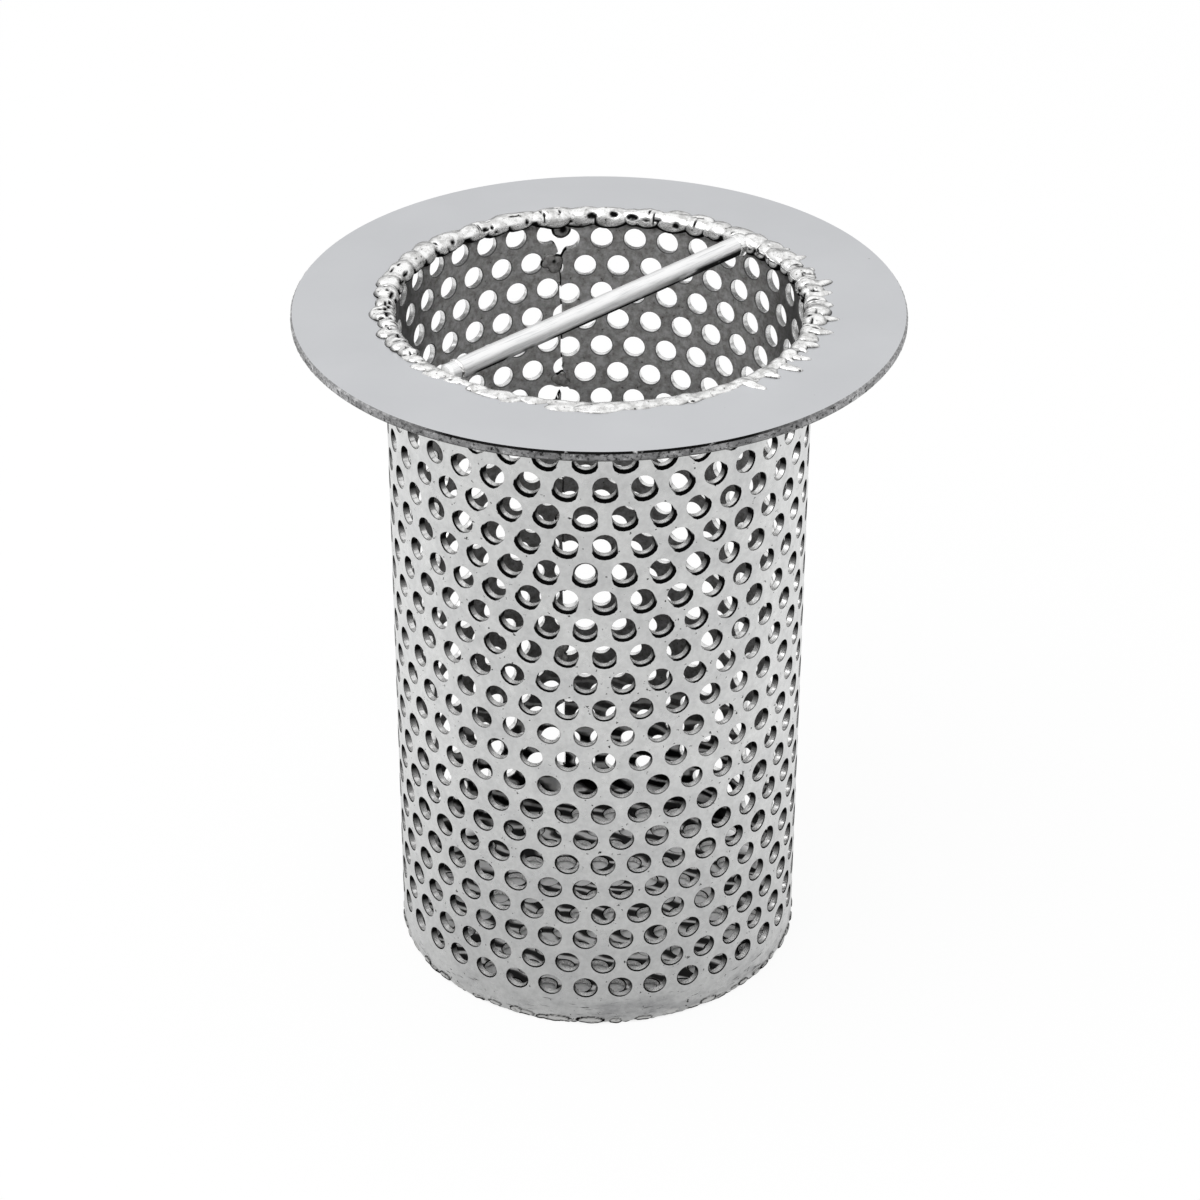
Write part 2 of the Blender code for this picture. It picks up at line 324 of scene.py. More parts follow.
def insideSteel(name, look):
    finish = Finish(name, look["roughness"])
    dark, pale = look["streaks"][name]
    base = finish.blend(finish.patches(*look["patches"]), *look["colours"])
    # the deep wall gets less light
    height = finish.side("Z")
    base = finish.darkened(base, finish.level(height, *look["dim"]))
    # pale and dark swirled streaks near the bottom
    swirl = finish.add("ShaderNodeTexWave", wave_type="BANDS", bands_direction="DIAGONAL")
    for key, value in look["swirl"].items():
        finish.feed(value, swirl.inputs[key])
    finish.feed(finish.stretched(look["swirlStretch"]), swirl.inputs["Vector"])
    deep = finish.level(height, *look["deep"])
    for levels, colour in ((look["streakPale"], pale), (look["streakDark"], dark)):
        base = finish.blend(finish.times(finish.level(swirl.outputs["Fac"], *levels), deep), base, colour)
    base = finish.blend(finish.patches(*look["specks"]), base, look["speck"])
    # burnt dark along the bead
    burnt = finish.times(finish.level(height, *look["burnt"]), finish.patches(*look["ragged"]))
    base = finish.blend(burnt, base, look["oxide"])
    # and painted shade where the wall turns away to the left and the right
    shade = finish.times(finish.aside(*look["aside"]), finish.level(height, *look["high"]))
    base = finish.darkened(base, finish.level(shade, *look["asideShade"]))
    finish.shadedAndSooted(base, finish.patches(*look["rough"]))
    finish.grain(*look["grain"])
    return finish.material


# bright shear in each hole, with a dark line where it breaks out; on the front walls the shade attribute adds
# painted shade where they face sideways or down
holeWallLook = {
    "roughness": 0.24,
    "metallic": 0.7,
    "colours": ((0.93, 0.93, 0.925), outsideLook["colours"][1]),
    "patches": ((0.0015,), (0.5, 0.8)),
    "rough": ((0.0015,), (0.3, 0.7, 0.18, 0.34)),
    "shadedAndSooted": True,
}


sheet = {
    "holeRadius": 2.9 * mm,
    "holePoints": 20,
    "cutHolePoints": 28,
    "lip": 0.1 * mm,
    "lipDeep": 0.2 * mm,
    "lipSteps": 3,
    "lipShadeAndEdge": ((0.0, 0.5), (0.8, 1.0), (1.0, 0.3), (0.1, 0.05), (0.9, 0.8)),
    "lipDragged": 11,
    "dragTurn": 100,
    "dragShare": (0.1, 0.85),
    "dragAside": (0.85, 0.35),
    "dragDrop": (102 * mm, 50 * mm),
    "dragBlack": (0.12, 0.32),
    "lipLow": 3.2,
    "lowTurn": 235,
    "lowTwist": 45,
    "lowHeight": (88 * mm, 58 * mm),
    "lowBlack": 1.7,
    "front": (-0.12, 0.12),
    "wallShade": (0.15, 0.42),
    "wallBend": math.pi / 2 + 0.2,
    "innerBreak": 0.25 * mm,
    "rows": 22,
    "rowPitch": 7.794 * mm,
    "firstRowDrop": 6.53 * mm,
    "turnPerHole": 9.95,
    "drift": (0.0028, -0.0004),
    "frontHole": -88.36,
    "holesAside": (-18, 21),
    "lift": 1.8 * mm,
    "liftTurns": (-60, -130),
    "seam": 101.4,
    "seamLean": -0.7,
    "seamLeanOver": 47 * mm,
    "seamGap": 0.42 * mm,
    "edgeStep": 2.4 * mm,
    "edgeHeight": 0.5 * mm,
    "edgeLeast": 0.25 * mm,
    "edgeWave": 0.42 * mm,
    "edgeMiddle": 0.6,
    "edgeWaves": ((7, 0.3, 0.4), (13, 0.5, 2.1), (23, 0.55, 4.4), (41, 0.6, 1.3), (67, 0.45, 0.2)),
    "clear": 0.05 * mm,
    "meltNear": 1.2,
    "extraRows": (0.2, 0.5, 0.8),
}
# melted openings beside the seam: to the right of it as seen from the front, and below the ring, in mm
burnThroughs = (
    ((-3.4, -3.9), (-2.3, -4.7), (-1.5, -5.6), (-0.3, -6.2), (0.9, -6.1), (2.0, -5.2), (3.2, -4.8),
     (4.8, -6.4), (4.6, -8.2), (3.3, -9.1), (2.0, -9.3), (1.0, -10.2), (0.5, -11.3), (0.0, -11.7),
     (-0.5, -11.1), (-0.8, -9.3), (-1.4, -7.9), (-2.3, -7.3), (-3.9, -7.4)),
    ((-3.2, -48.7), (-1.9, -49.2), (-0.3, -49.5), (1.1, -49.4), (2.4, -50.5), (1.4, -52.6),
     (0.4, -54.4), (0.1, -51.6), (-0.3, -51.4), (-1.0, -53.0), (-1.6, -54.0), (-3.2, -51.6)),
    ((-2.0, -43.6), (-0.6, -42.2), (0.5, -42.0), (0.6, -44.0), (-0.4, -44.7), (-1.5, -44.5)),
)
sheetLength = 2 * math.pi * midRadius


# helpers for arrays of numbers
def fullTurn(count):
    return 2 * math.pi * np.arange(count) / count


def rise(values, low, high):
    # 0 at low, 1 at high
    return np.clip((values - low) / (high - low), 0, 1)


def smoothStep(share):
    return share * share * (3 - 2 * share)


def arcFrom(turns, angle, radius):
    # how far each turn lies along the arc from an angle
    return np.radians((np.degrees(turns) - angle + 180) % 360 - 180) * radius


def storeShadeAndSoot(mesh, values, domain="POINT"):
    shadeAndSoot = mesh.attributes.new("shadeAndSoot", "FLOAT", domain)
    shadeAndSoot.data.foreach_set("value", np.asarray(values, np.float32).ravel())


def seamShift(height):
    # how far the seam wanders along the sheet at a height
    drop = ringTop - height
    lean = math.radians(sheet["seamLean"]) * (drop / sheet["seamLeanOver"] - 0.5) * midRadius
    return lean / (1 + (drop / (2 * sheet["seamLeanOver"])) ** 2)


def holeCentres():
    centres = []
    second, third = sheet["drift"]
    for row in range(sheet["rows"]):
        drop = sheet["firstRowDrop"] + row * sheet["rowPitch"]
        for step in range(*sheet["holesAside"]):
            n = step + (row % 2) / 2
            turn = sheet["turnPerHole"] * n + second * n ** 2 + third * n ** 3
            lift = sheet["lift"] * smoothStep(rise(turn, *sheet["liftTurns"]))
            along = math.radians(sheet["frontHole"] + turn + 360 - sheet["seam"]) * midRadius
            centres.append((along, ringTop - drop + lift))
    return centres


def circleRound(centre, radius, count):
    return [(centre[0] + radius * math.cos(a), centre[1] + radius * math.sin(a)) for a in fullTurn(count)]


def raggedEdge(angle):
    # height of the ground lower edge at an angle in radians, for the sheet and for the bead under it
    wave = sum(share * (abs(math.sin(turns * angle / 2 + start)) - sheet["edgeMiddle"])
               for turns, share, start in sheet["edgeWaves"])
    return max(sheet["edgeHeight"] + sheet["edgeWave"] * wave, sheet["edgeLeast"])


def sheetOutline():
    rng = random.Random(3)
    low = sheet["edgeHeight"]
    half = sheet["seamGap"] / 2
    columns = round(sheetLength / sheet["edgeStep"])
    rows = round((bodyTop - low) / sheet["edgeStep"])
    heights = [low + (bodyTop - low) * i / rows for i in range(rows + 1)]
    wobble = [rng.uniform(-1, 1) * sheet["seamGap"] / 3 for _ in heights]
    left = [(half + seamShift(h) + w, h) for h, w in zip(heights, wobble)]
    right = [(sheetLength - half + seamShift(h) + w, h) for h, w in zip(heights, wobble)]
    bottom = []
    for i in range(1, 3 * columns):
        along = sheetLength * i / (3 * columns)
        bottom.append((along, raggedEdge(math.radians(sheet["seam"]) + along / midRadius)))
    top = [(sheetLength * (columns - i) / columns, bodyTop) for i in range(1, columns)]
    return left[:1] + bottom + right + top + left[:0:-1]


def smoothLoop(points, steps=3):
    # a closed curve through the points
    count = len(points)
    result = []
    for i in range(count):
        a, b, c, d = (Vector(points[(i + k) % count]) for k in (-1, 0, 1, 2))
        for s in range(steps):
            t = s / steps
            result.append(tuple(0.5 * (2 * b + (c - a) * t + (2 * a - 5 * b + 4 * c - d) * t * t
                                       + (3 * b - 3 * c + d - a) * t ** 3)))
    return result


def rolled(points, depth):
    # flat sheet to cylinder: place and outward normal
    points = np.asarray(points)
    angle = math.radians(sheet["seam"]) + points[:, 0] / midRadius
    outward = np.stack([np.cos(angle), np.sin(angle), np.zeros(len(points))], 1)
    place = outward * (bodyRadius - np.asarray(depth))[:, None]
    place[:, 2] = points[:, 1]
    return place, outward


def flatPlate(points, depth):
    outward = np.tile((0.0, 0.0, 1.0), (len(points), 1))
    place = np.column_stack([points, plateTop - np.asarray(depth)])
    return place, outward


def meshFrom(name, vertices, faces, materials):
    # each entry of faces has arrays of corners, of the corners' normals and of their painted shade, and a
    # material
    corners, normals, shadeAndSoot, kinds = zip(*faces)
    mesh = bpy.data.meshes.new(name)
    mesh.vertices.add(len(vertices))
    mesh.vertices.foreach_set("co", np.asarray(vertices, np.float32).ravel())
    sizes = np.concatenate([np.full(len(c), c.shape[1]) for c in corners])
    kinds = np.concatenate([np.full(len(c), k) for c, k in zip(corners, kinds)])
    corners = np.concatenate([c.ravel() for c in corners])
    mesh.loops.add(len(corners))
    mesh.loops.foreach_set("vertex_index", corners.astype(np.int32))
    mesh.polygons.add(len(sizes))
    starts = np.concatenate([[0], np.cumsum(sizes)[:-1]])
    mesh.polygons.foreach_set("loop_start", starts.astype(np.int32))
    mesh.polygons.foreach_set("material_index", kinds.astype(np.int32))
    mesh.update(calc_edges=True)
    storeShadeAndSoot(mesh, np.concatenate([s.ravel() for s in shadeAndSoot]), "CORNER")
    mesh.shade_smooth()
    mesh.normals_split_custom_set(np.concatenate([n.reshape(-1, 3) for n in normals]))
    return placed(name, mesh, *materials)


def lipsAndPaintedShade(holes):
    # how far each lip is drawn out below its hole and painted black as a painted reflection, 0 to 1, most
    # near the ring;
    # how wide and black the low lips are, as painted shade; and how much painted shade darkens the holes'
    # upper walls, only at the front
    turns = fullTurn(sheet["holePoints"])
    along, height = np.array(holes).T
    fromFront = along / midRadius + math.radians(sheet["seam"] - 270)
    aside = np.sin(fromFront) * np.sign(np.cos(fromFront))
    toward = np.radians(sheet["dragTurn"] * aside - 90)
    share = rise(np.cos(turns[None, :] - toward[:, None]), *sheet["dragShare"])
    fade = rise(ringTop - height, *sheet["dragDrop"]) * rise(np.abs(aside), *sheet["dragAside"])
    # wide lips near the bottom, painted black as painted shade, most to one side
    spread = np.random.default_rng(8).uniform(-1, 1, len(holes))
    twist = np.radians(spread * sheet["lowTwist"] + sheet["lowTurn"])
    side = np.clip(0.5 + 0.5 * np.cos(turns[None, :] - twist[:, None]), 0, 1)
    low = rise(height, *sheet["lowHeight"])[:, None] * side
    return smoothStep(share) * fade[:, None], low, rise(np.cos(fromFront), *sheet["front"])


def punched(name, loops, holes, extra, surface, gauge, materials, worn, burnt):
    # one flat triangulation carries both faces; each whole hole gets a rolled lip, a wall and a broken
    # inner edge. loops has the outline and what cuts into it, with the burnt ones first.
    count = sheet["holePoints"]
    radius = sheet["holeRadius"]
    cut = sheet["innerBreak"]
    # worn holds the drawn-out and low widths of the lips, which also paint them black, and the painted shade
    # on the front walls
    dragged, lowLips, front = worn
    lips = sheet["lip"] * (1 + sheet["lipDragged"] * dragged + sheet["lipLow"] * lowLips)
    turns = fullTurn(count)
    circle = np.stack([np.cos(turns), np.sin(turns)], 1)
    centres = np.array(holes)
    points, indices = [], []
    lipLoops = (centres[:, None, :] + (radius + lips)[:, :, None] * circle[None]).tolist()
    for loop in [*loops, *lipLoops]:
        indices.append(list(range(len(points), len(points) + len(loop))))
        points.extend(loop)
    firstLip = len(points) - count * len(holes)
    points.extend(extra)
    flat, _, triangles, origins, _, sources = delaunay_2d_cdt(
        [Vector(p) for p in points], [], indices, 1, 1e-8)
    place = {old: new for new, olds in enumerate(origins) for old in olds}
    kept = np.array([t for t, s in zip(triangles, sources) if len(s) == 1 and s[0] == 0])
    flat = np.array([tuple(p) for p in flat])
    total = len(flat)
    outer, outerNormal = surface(flat, np.zeros(total))
    inner, innerNormal = surface(flat, np.full(total, gauge))
    vertices, ups = [outer, inner], [outerNormal, -innerNormal]

    # rings inside each hole, from the outer face to the inner one
    profile = []
    for step in range(1, sheet["lipSteps"] + 1):
        bend = math.pi / 2 * step / sheet["lipSteps"]
        profile.append((radius + lips * (1 - math.sin(bend)), sheet["lipDeep"] * (1 - math.cos(bend)), bend))
    profile.append((radius + 0 * lips, gauge - cut, sheet["wallBend"]))
    rings = []
    for number, (reach, depth, bend) in enumerate(profile):
        spots = (centres[:, None, :] + reach[:, :, None] * circle[None]).reshape(-1, 2)
        here, outward = surface(spots, np.full(len(spots), depth))
        middle, _ = surface(np.repeat(centres, count, 0), np.full(len(spots), depth))
        toMiddle = middle - here
        toMiddle /= np.linalg.norm(toMiddle, axis=1)[:, None]
        vertices.append(here)
        ups.append(outward * math.cos(bend) + toMiddle * math.sin(bend))
        rings.append(2 * total + np.arange(number * len(spots), (number + 1) * len(spots)).reshape(-1, count))
    lipIndex = np.array([place[i] for i in range(firstLip, firstLip + count * len(holes))])
    lipIndex = lipIndex.reshape(-1, count)
    rings = [lipIndex, *rings, lipIndex + total]
    # the inner face's ring is drawn in to the broken edge
    spots = (centres[:, None, :] + (radius + cut) * circle[None]).reshape(-1, 2)
    vertices[1][lipIndex.ravel()] = surface(spots, np.full(len(spots), gauge))[0]
    vertices = np.concatenate(vertices)
    ups = np.concatenate(ups)

    faces = [(kept, ups[kept], np.zeros(kept.shape), 0)]
    under = kept[:, ::-1] + total
    faces.append((under, ups[under], np.zeros(under.shape), 1))
    # painted reflection and painted shade: black on drawn-out lips and on wide low lips
    black = np.maximum(rise(dragged, *sheet["dragBlack"]), np.clip(sheet["lowBlack"] * lowLips, 0, 1))
    # painted shade: a hole's wall is painted bright where it faces up and dark from there round to its top
    dark = front[:, None] * rise((1 + circle[:, 1]) / 2, *sheet["wallShade"])[None, :]
    for i, (a, b) in enumerate(zip(rings, rings[1:])):
        quads = np.stack([a, np.roll(a, -1, 1), np.roll(b, -1, 1), b], 2).reshape(-1, 4)
        # the drawn-out part of a lip is painted black as far as the wall, a painted reflection of the ring's
        # dark underside
        near, far = (np.maximum(level, black if i + end < sheet["lipSteps"] else dark)
                     for end, level in enumerate(sheet["lipShadeAndEdge"][i]))
        shade = np.stack([near, np.roll(near, -1, 1), np.roll(far, -1, 1), far], 2).reshape(-1, 4)
        faces.append((quads, ups[quads], shade, 0 if i < sheet["lipSteps"] - 1 else 2))

    # straight walls along the outline and its cuts, black round the melted openings
    edges = {tuple(e) for t in kept for e in ((t[0], t[1]), (t[1], t[2]), (t[2], t[0]))}
    onLip = set(lipIndex.ravel().tolist())
    rim = np.array([(a, b) for a, b in edges if (b, a) not in edges and not (a in onLip and b in onLip)])
    first = len(loops[0])
    melted = [place[i] for i in range(first, first + sum(len(loop) for loop in loops[1:burnt + 1]))]
    shade = np.isin(rim, melted).astype(float)[:, [1, 0, 0, 1]]
    walls = np.stack([rim[:, 1], rim[:, 0], rim[:, 0] + total, rim[:, 1] + total], 1)
    corner = vertices[walls[:, 0]]
    across = np.cross(vertices[walls[:, 1]] - corner, vertices[walls[:, 3]] - corner)
    across /= np.linalg.norm(across, axis=1)[:, None] + 1e-12
    faces.append((walls, np.repeat(across[:, None, :], 4, 1), shade, 2))

    # drop the points that no face uses
    used = np.unique(np.concatenate([face[0].ravel() for face in faces]))
    lookup = np.full(len(vertices), -1)
    lookup[used] = np.arange(len(used))
    return meshFrom(name, vertices[used], [(lookup[face[0]], *face[1:]) for face in faces], materials)


def rolledBody(materials):
    keep = sheet["holeRadius"] + sheet["lip"] + sheet["clear"]
    burnt, openings = [], []
    for shape in burnThroughs:
        for start in (0, sheetLength):
            burnt.append(smoothLoop([(start - right * mm, ringTop + down * mm) for right, down in shape]))
        downs = [down for right, down in shape if abs(right) < sheet["meltNear"]]
        openings.append((ringTop + min(downs) * mm, ringTop + max(downs) * mm))
    whole, cutters = [], list(burnt)
    for centre in holeCentres():
        fromLeft = centre[0] - seamShift(centre[1]) - sheet["seamGap"] / 2
        fromRight = sheetLength + seamShift(centre[1]) - sheet["seamGap"] / 2 - centre[0]
        nearest = min(fromLeft, fromRight)
        touched = any(math.dist(centre, p) < keep for shape in burnt for p in shape)
        if nearest > keep and not touched:
            whole.append(centre)
        elif nearest > -sheet["holeRadius"]:
            cutters.append(circleRound(centre, sheet["holeRadius"], sheet["cutHolePoints"]))
            if nearest < sheet["holeRadius"]:
                tall = math.sqrt(sheet["holeRadius"] ** 2 - nearest ** 2)
                openings.append((centre[1] - tall, centre[1] + tall))
    lastRow = ringTop - sheet["firstRowDrop"] - (sheet["rows"] - 1) * sheet["rowPitch"]
    band = lastRow - sheet["holeRadius"] - bodyLow
    extra = [(sheet["edgeStep"] * i, bodyLow + band * level) for level in sheet["extraRows"]
             for i in range(1, round(sheetLength / sheet["edgeStep"]))]
    body = punched("punched_sheet", [sheetOutline(), *cutters], whole, extra, rolled, sheetGauge, materials,
                   lipsAndPaintedShade(whole), len(burnt))
    print("strainer: sheet with", len(whole), "whole holes,", len(body.data.polygons), "faces")
    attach(body, "root")
    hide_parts("basket_shell_upper", "basket_shell_lower")
    seamShadow(openings)


# a dark strip in the closed butt seam, a painted shadow in the gap, between the openings that it crosses
seamFace = {
    "step": 0.3 * mm,
    "half": 0.4 * mm,
    "sunk": 0.12 * mm,
    "look": {
        "roughness": 0.6,
        "colours": ((0.012, 0.012, 0.012), (0.03, 0.028, 0.026)),
        "patches": ((0.002,), (0.4, 0.6)),
    },
    "sides": ((0, 1, 2, 3), (7, 6, 5, 4), (0, 4, 5, 1), (2, 6, 7, 3), (1, 5, 6, 2), (0, 3, 7, 4)),
}


def seamShadow(openings):
    vertices, faces = [], []
    step = seamFace["step"]
    height = sheet["edgeHeight"] + step
    while height < bodyTop - step:
        if not any(low - step < height < high for low, high in openings):
            faces += [tuple(len(vertices) + k for k in side) for side in seamFace["sides"]]
            for depth in (seamFace["sunk"], sheetGauge - seamFace["sunk"]):
                for side, up in ((-1, 0), (1, 0), (1, 1), (-1, 1)):
                    spot = (seamShift(height) + side * seamFace["half"], height + up * step)
                    vertices.append(rolled([spot], [depth])[0][0])
        height += step
    steel = mottledSteel("seam_gap_shadow", seamFace["look"])
    piece = placed("seam_gap_shadow", meshOf("seam_gap_shadow", vertices, faces), steel)
    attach(piece, "root")


disc = {
    "edgePoints": 240,
    "border": 0.3 * mm,
    "span": range(-7, 8),
    # worn makes every lip of the disc a wide low lip, painted black as painted shade
    "worn": 0.8,
}


def bottomDisc(materials):
    pitch = 2 * sheet["rowPitch"] / math.sqrt(3)
    reach = plateRadius - sheet["holeRadius"] - sheet["lip"] - disc["border"]
    holes = [(pitch * (column + row % 2 / 2), sheet["rowPitch"] * row)
             for row in disc["span"] for column in disc["span"]]
    holes = [centre for centre in holes if math.hypot(*centre) < reach]
    outline = circleRound((0, 0), plateRadius, disc["edgePoints"])
    plain = np.zeros((len(holes), sheet["holePoints"]))
    piece = punched("bottom_disc", [outline], holes, [], flatPlate, plateTop, materials,
                    (plain, plain + disc["worn"], np.zeros(len(holes))), 0)
    print("strainer: bottom disc with", len(holes), "holes")
    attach(piece, "root")
    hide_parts("bottom_plate")


outside, holeWall = outsideSteel(outsideLook), mottledSteel("hole_wall", holeWallLook)
inside, discTop = insideSteel("sheet_inside", insideLook), insideSteel("disc_top", insideLook)
rolledBody((outside, inside, holeWall))
bottomDisc((discTop, outside, holeWall))


# the flat ring; its sawn edge and dark arris are painted lighter to the left and the right, as painted light
plateRing = {
    "segments": 1200,
    "edgeBreak": 0.48 * mm,
    "edgeRows": 7,
    "grainDeep": 0.055 * mm,
    "grainInset": 1.6,
    "grainMost": 1.5,
    "lowSteps": (0, 0.1, 0.9, 1),
    "highSteps": (1, 0.97, 0.5, 0.1, 0),
    "sharpFrom": 30,
    "edge": (0.36, 0.36, 0.365),
    "pit": (0.012, 0.012, 0.012),
    "fleck": (0.64, 0.64, 0.645),
    "arris": (0.008, 0.008, 0.008),
    "flecks": ((0.0013, 4, 0.7), (0.58, 0.66)),
    "pits": ((0.0009, 5, 0.75), (0.49, 0.62)),
    "shade": ((0.006, 3), (0.40, 0.60, 0.55, 1.0)),
    "aside": (0.035, 0.060),
    "paintedPaler": 1.45,
    "rough": ((0.0004,), (0.3, 0.7, 0.35, 0.6)),
    "grain": ((0.00035, 4, 0.7), 0.00006),
    "arrisFlecks": ((0.0013, 4, 0.7), (0.46, 0.60)),
    "arrisGaps": ((0.004, 4, 0.7), (0.60, 0.68)),
}
ringTopLook = {
    "roughness": 0.36,
    "colours": ((0.675, 0.685, 0.705), (0.65, 0.66, 0.68)),
    "patches": ((0.03,), (0.35, 0.65)),
    "speck": plateRing["edge"],
    "specks": ((0.0012, 2, 0.5), (0.77, 0.82)),
    "rough": ((0.006,), (0.3, 0.7, 0.32, 0.40)),
    "grain": ((0.0004, 4), 0.000008),
}
# the underside is painted near black, a painted shadow under the ring
ringUnderShadeLook = {
    "roughness": 0.5,
    "colours": ((0.14, 0.14, 0.14), (0.09, 0.09, 0.09)),
    "patches": ((0.01, 4), (0.35, 0.65)),
    "grain": ((0.0005, 4), 0.00002),
}


def ringEdgeSteel():
    finish = Finish("ring_edge", 0.45)
    base = finish.blend(finish.patches(*plateRing["flecks"]), plateRing["edge"], plateRing["fleck"])
    base = finish.blend(finish.patches(*plateRing["pits"]), base, plateRing["pit"])
    paintedPaler = finish.aside(*plateRing["aside"], 1.0, plateRing["paintedPaler"])
    base = finish.darkened(base, finish.patches(*plateRing["shade"]), paintedPaler)
    finish.paint(base, finish.patches(*plateRing["rough"]))
    finish.grain(*plateRing["grain"])
    return finish.material


def ringArris():
    # a dark line where the sawn edge meets the top, broken in places and painted lighter to the left and the
    # right as painted light
    finish = Finish("ring_arris", 0.5)
    worn = finish.blend(finish.patches(*plateRing["arrisFlecks"]), plateRing["edge"], plateRing["fleck"])
    gapsAndPaintedLight = finish.most(finish.patches(*plateRing["arrisGaps"]), finish.aside(*plateRing["aside"]))
    finish.paint(finish.blend(gapsAndPaintedLight, plateRing["arris"], worn))
    return finish.material


def turned(name, sections, kinds, materials, angles):
    # sections[i] is the profile at angles[i], in (radius, height); kinds has a material per profile edge
    sections = np.asarray(sections)
    steps, points = sections.shape[:2]
    out = np.stack([np.cos(angles), np.sin(angles)], 1)
    places = np.concatenate([sections[:, :, :1] * out[:, None, :], sections[:, :, 1:]], 2)
    index = np.arange(steps * points).reshape(steps, points)
    after = np.roll(index, -1, 0)
    quads = np.stack([index, after, np.roll(after, -1, 1), np.roll(index, -1, 1)], 2)
    mesh = meshOf(name, places.reshape(-1, 3), quads.reshape(-1, 4))
    mesh.polygons.foreach_set("material_index", np.tile(kinds, steps).astype(np.int32))
    mesh.shade_smooth()
    return placed(name, mesh, *materials)


def flatRing():
    steps, rows, cut = plateRing["segments"], plateRing["edgeRows"], plateRing["edgeBreak"]
    grain = np.random.default_rng(5).normal(0, 1, (steps, rows))
    grain = (grain + np.roll(grain, 1, 0) + np.roll(grain, -1, 0)) / 3
    heights = [ringUnder + cut + (ringTop - ringUnder - 2 * cut) * j / (rows - 1) for j in range(rows)]
    wide = ringRadius - cut - ringBore
    low = [(ringBore + wide * s, ringUnder) for s in plateRing["lowSteps"]]
    high = [(ringBore + wide * s, ringTop) for s in plateRing["highSteps"]]
    sections = []
    for line in grain:
        inset = [plateRing["grainInset"] - min(g, plateRing["grainMost"]) for g in line]
        edge = [(ringRadius - plateRing["grainDeep"] * i, h) for i, h in zip(inset, heights)]
        sections.append(low + edge + high)
    kinds = [2] * len(low) + [1] * (rows - 1) + [3] + [0] * len(high)
    finishes = (mottledSteel("ring_top", ringTopLook), ringEdgeSteel(),
                mottledSteel("ring_underside_shade", ringUnderShadeLook), ringArris())
    piece = turned("flat_ring", sections, kinds, finishes, fullTurn(steps))
    piece.data.set_sharp_from_angle(angle=math.radians(plateRing["sharpFrom"]))
    print("strainer: ring", len(piece.data.polygons), "faces")
    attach(piece, "root")
    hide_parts("flange_ring")


flatRing()


# the welds: many overlapping drops of metal, melted into one skin
weld = {
    "voxel": 0.24 * mm,
    "smooth": 6,
    "hollowReach": 16,
    "hollow": (0.10, 0.20),
    "pitNear": 2,
    "pitFall": 2.5,
    "pitShade": (2.2, 1.4),
    "below": 0.02 * mm,
    "outline": 0.07 * mm,
    "outlineFull": 1.5,
}
weldLook = {
    "roughness": 0.2,
    "colours": ((0.97, 0.97, 0.965), (0.66, 0.657, 0.65)),
    "patches": ((0.0022, 4, 0.65), (0.44, 0.60)),
    "speck": (0.06, 0.06, 0.058),
    "specks": ((0.0011, 3, 0.6), (0.65, 0.70)),
    "rough": ((0.002,), (0.3, 0.7, 0.10, 0.24)),
    "grain": ((0.0014, 2, 0.5), 0.00005),
    "shadedAndSooted": True,
}


def drop(middle, size, turn):
    # an ellipsoid of metal: size is along its own x, y and z, turned about Z
    return Matrix.Translation(middle) @ Matrix.Rotation(turn, 4, "Z") @ Matrix.Diagonal((*size, 1))


def around(angle, radius, height):
    a = math.radians(angle)
    return Vector((radius * math.cos(a), radius * math.sin(a), height))


def pointValues(mesh, key):
    values = np.empty(len(mesh.vertices) * 3, np.float32)
    mesh.vertices.foreach_get(key, values)
    return values.reshape(-1, 3)


def hollowness(mesh, places, ups):
    # how far each point lies below the smoothed skin, in mm
    edges = np.empty(len(mesh.edges) * 2, np.int32)
    mesh.edges.foreach_get("vertices", edges)
    edges = edges.reshape(-1, 2)
    ends = np.concatenate([edges[:, 0], edges[:, 1]])
    others = np.concatenate([edges[:, 1], edges[:, 0]])
    count = len(places)
    neighbours = np.bincount(ends, minlength=count)
    soft = places.copy()
    for _ in range(weld["hollowReach"]):
        soft = np.stack([np.bincount(ends, soft[others, k], count) / neighbours for k in range(3)], 1)
    return ((soft - places) * ups).sum(1) / mm


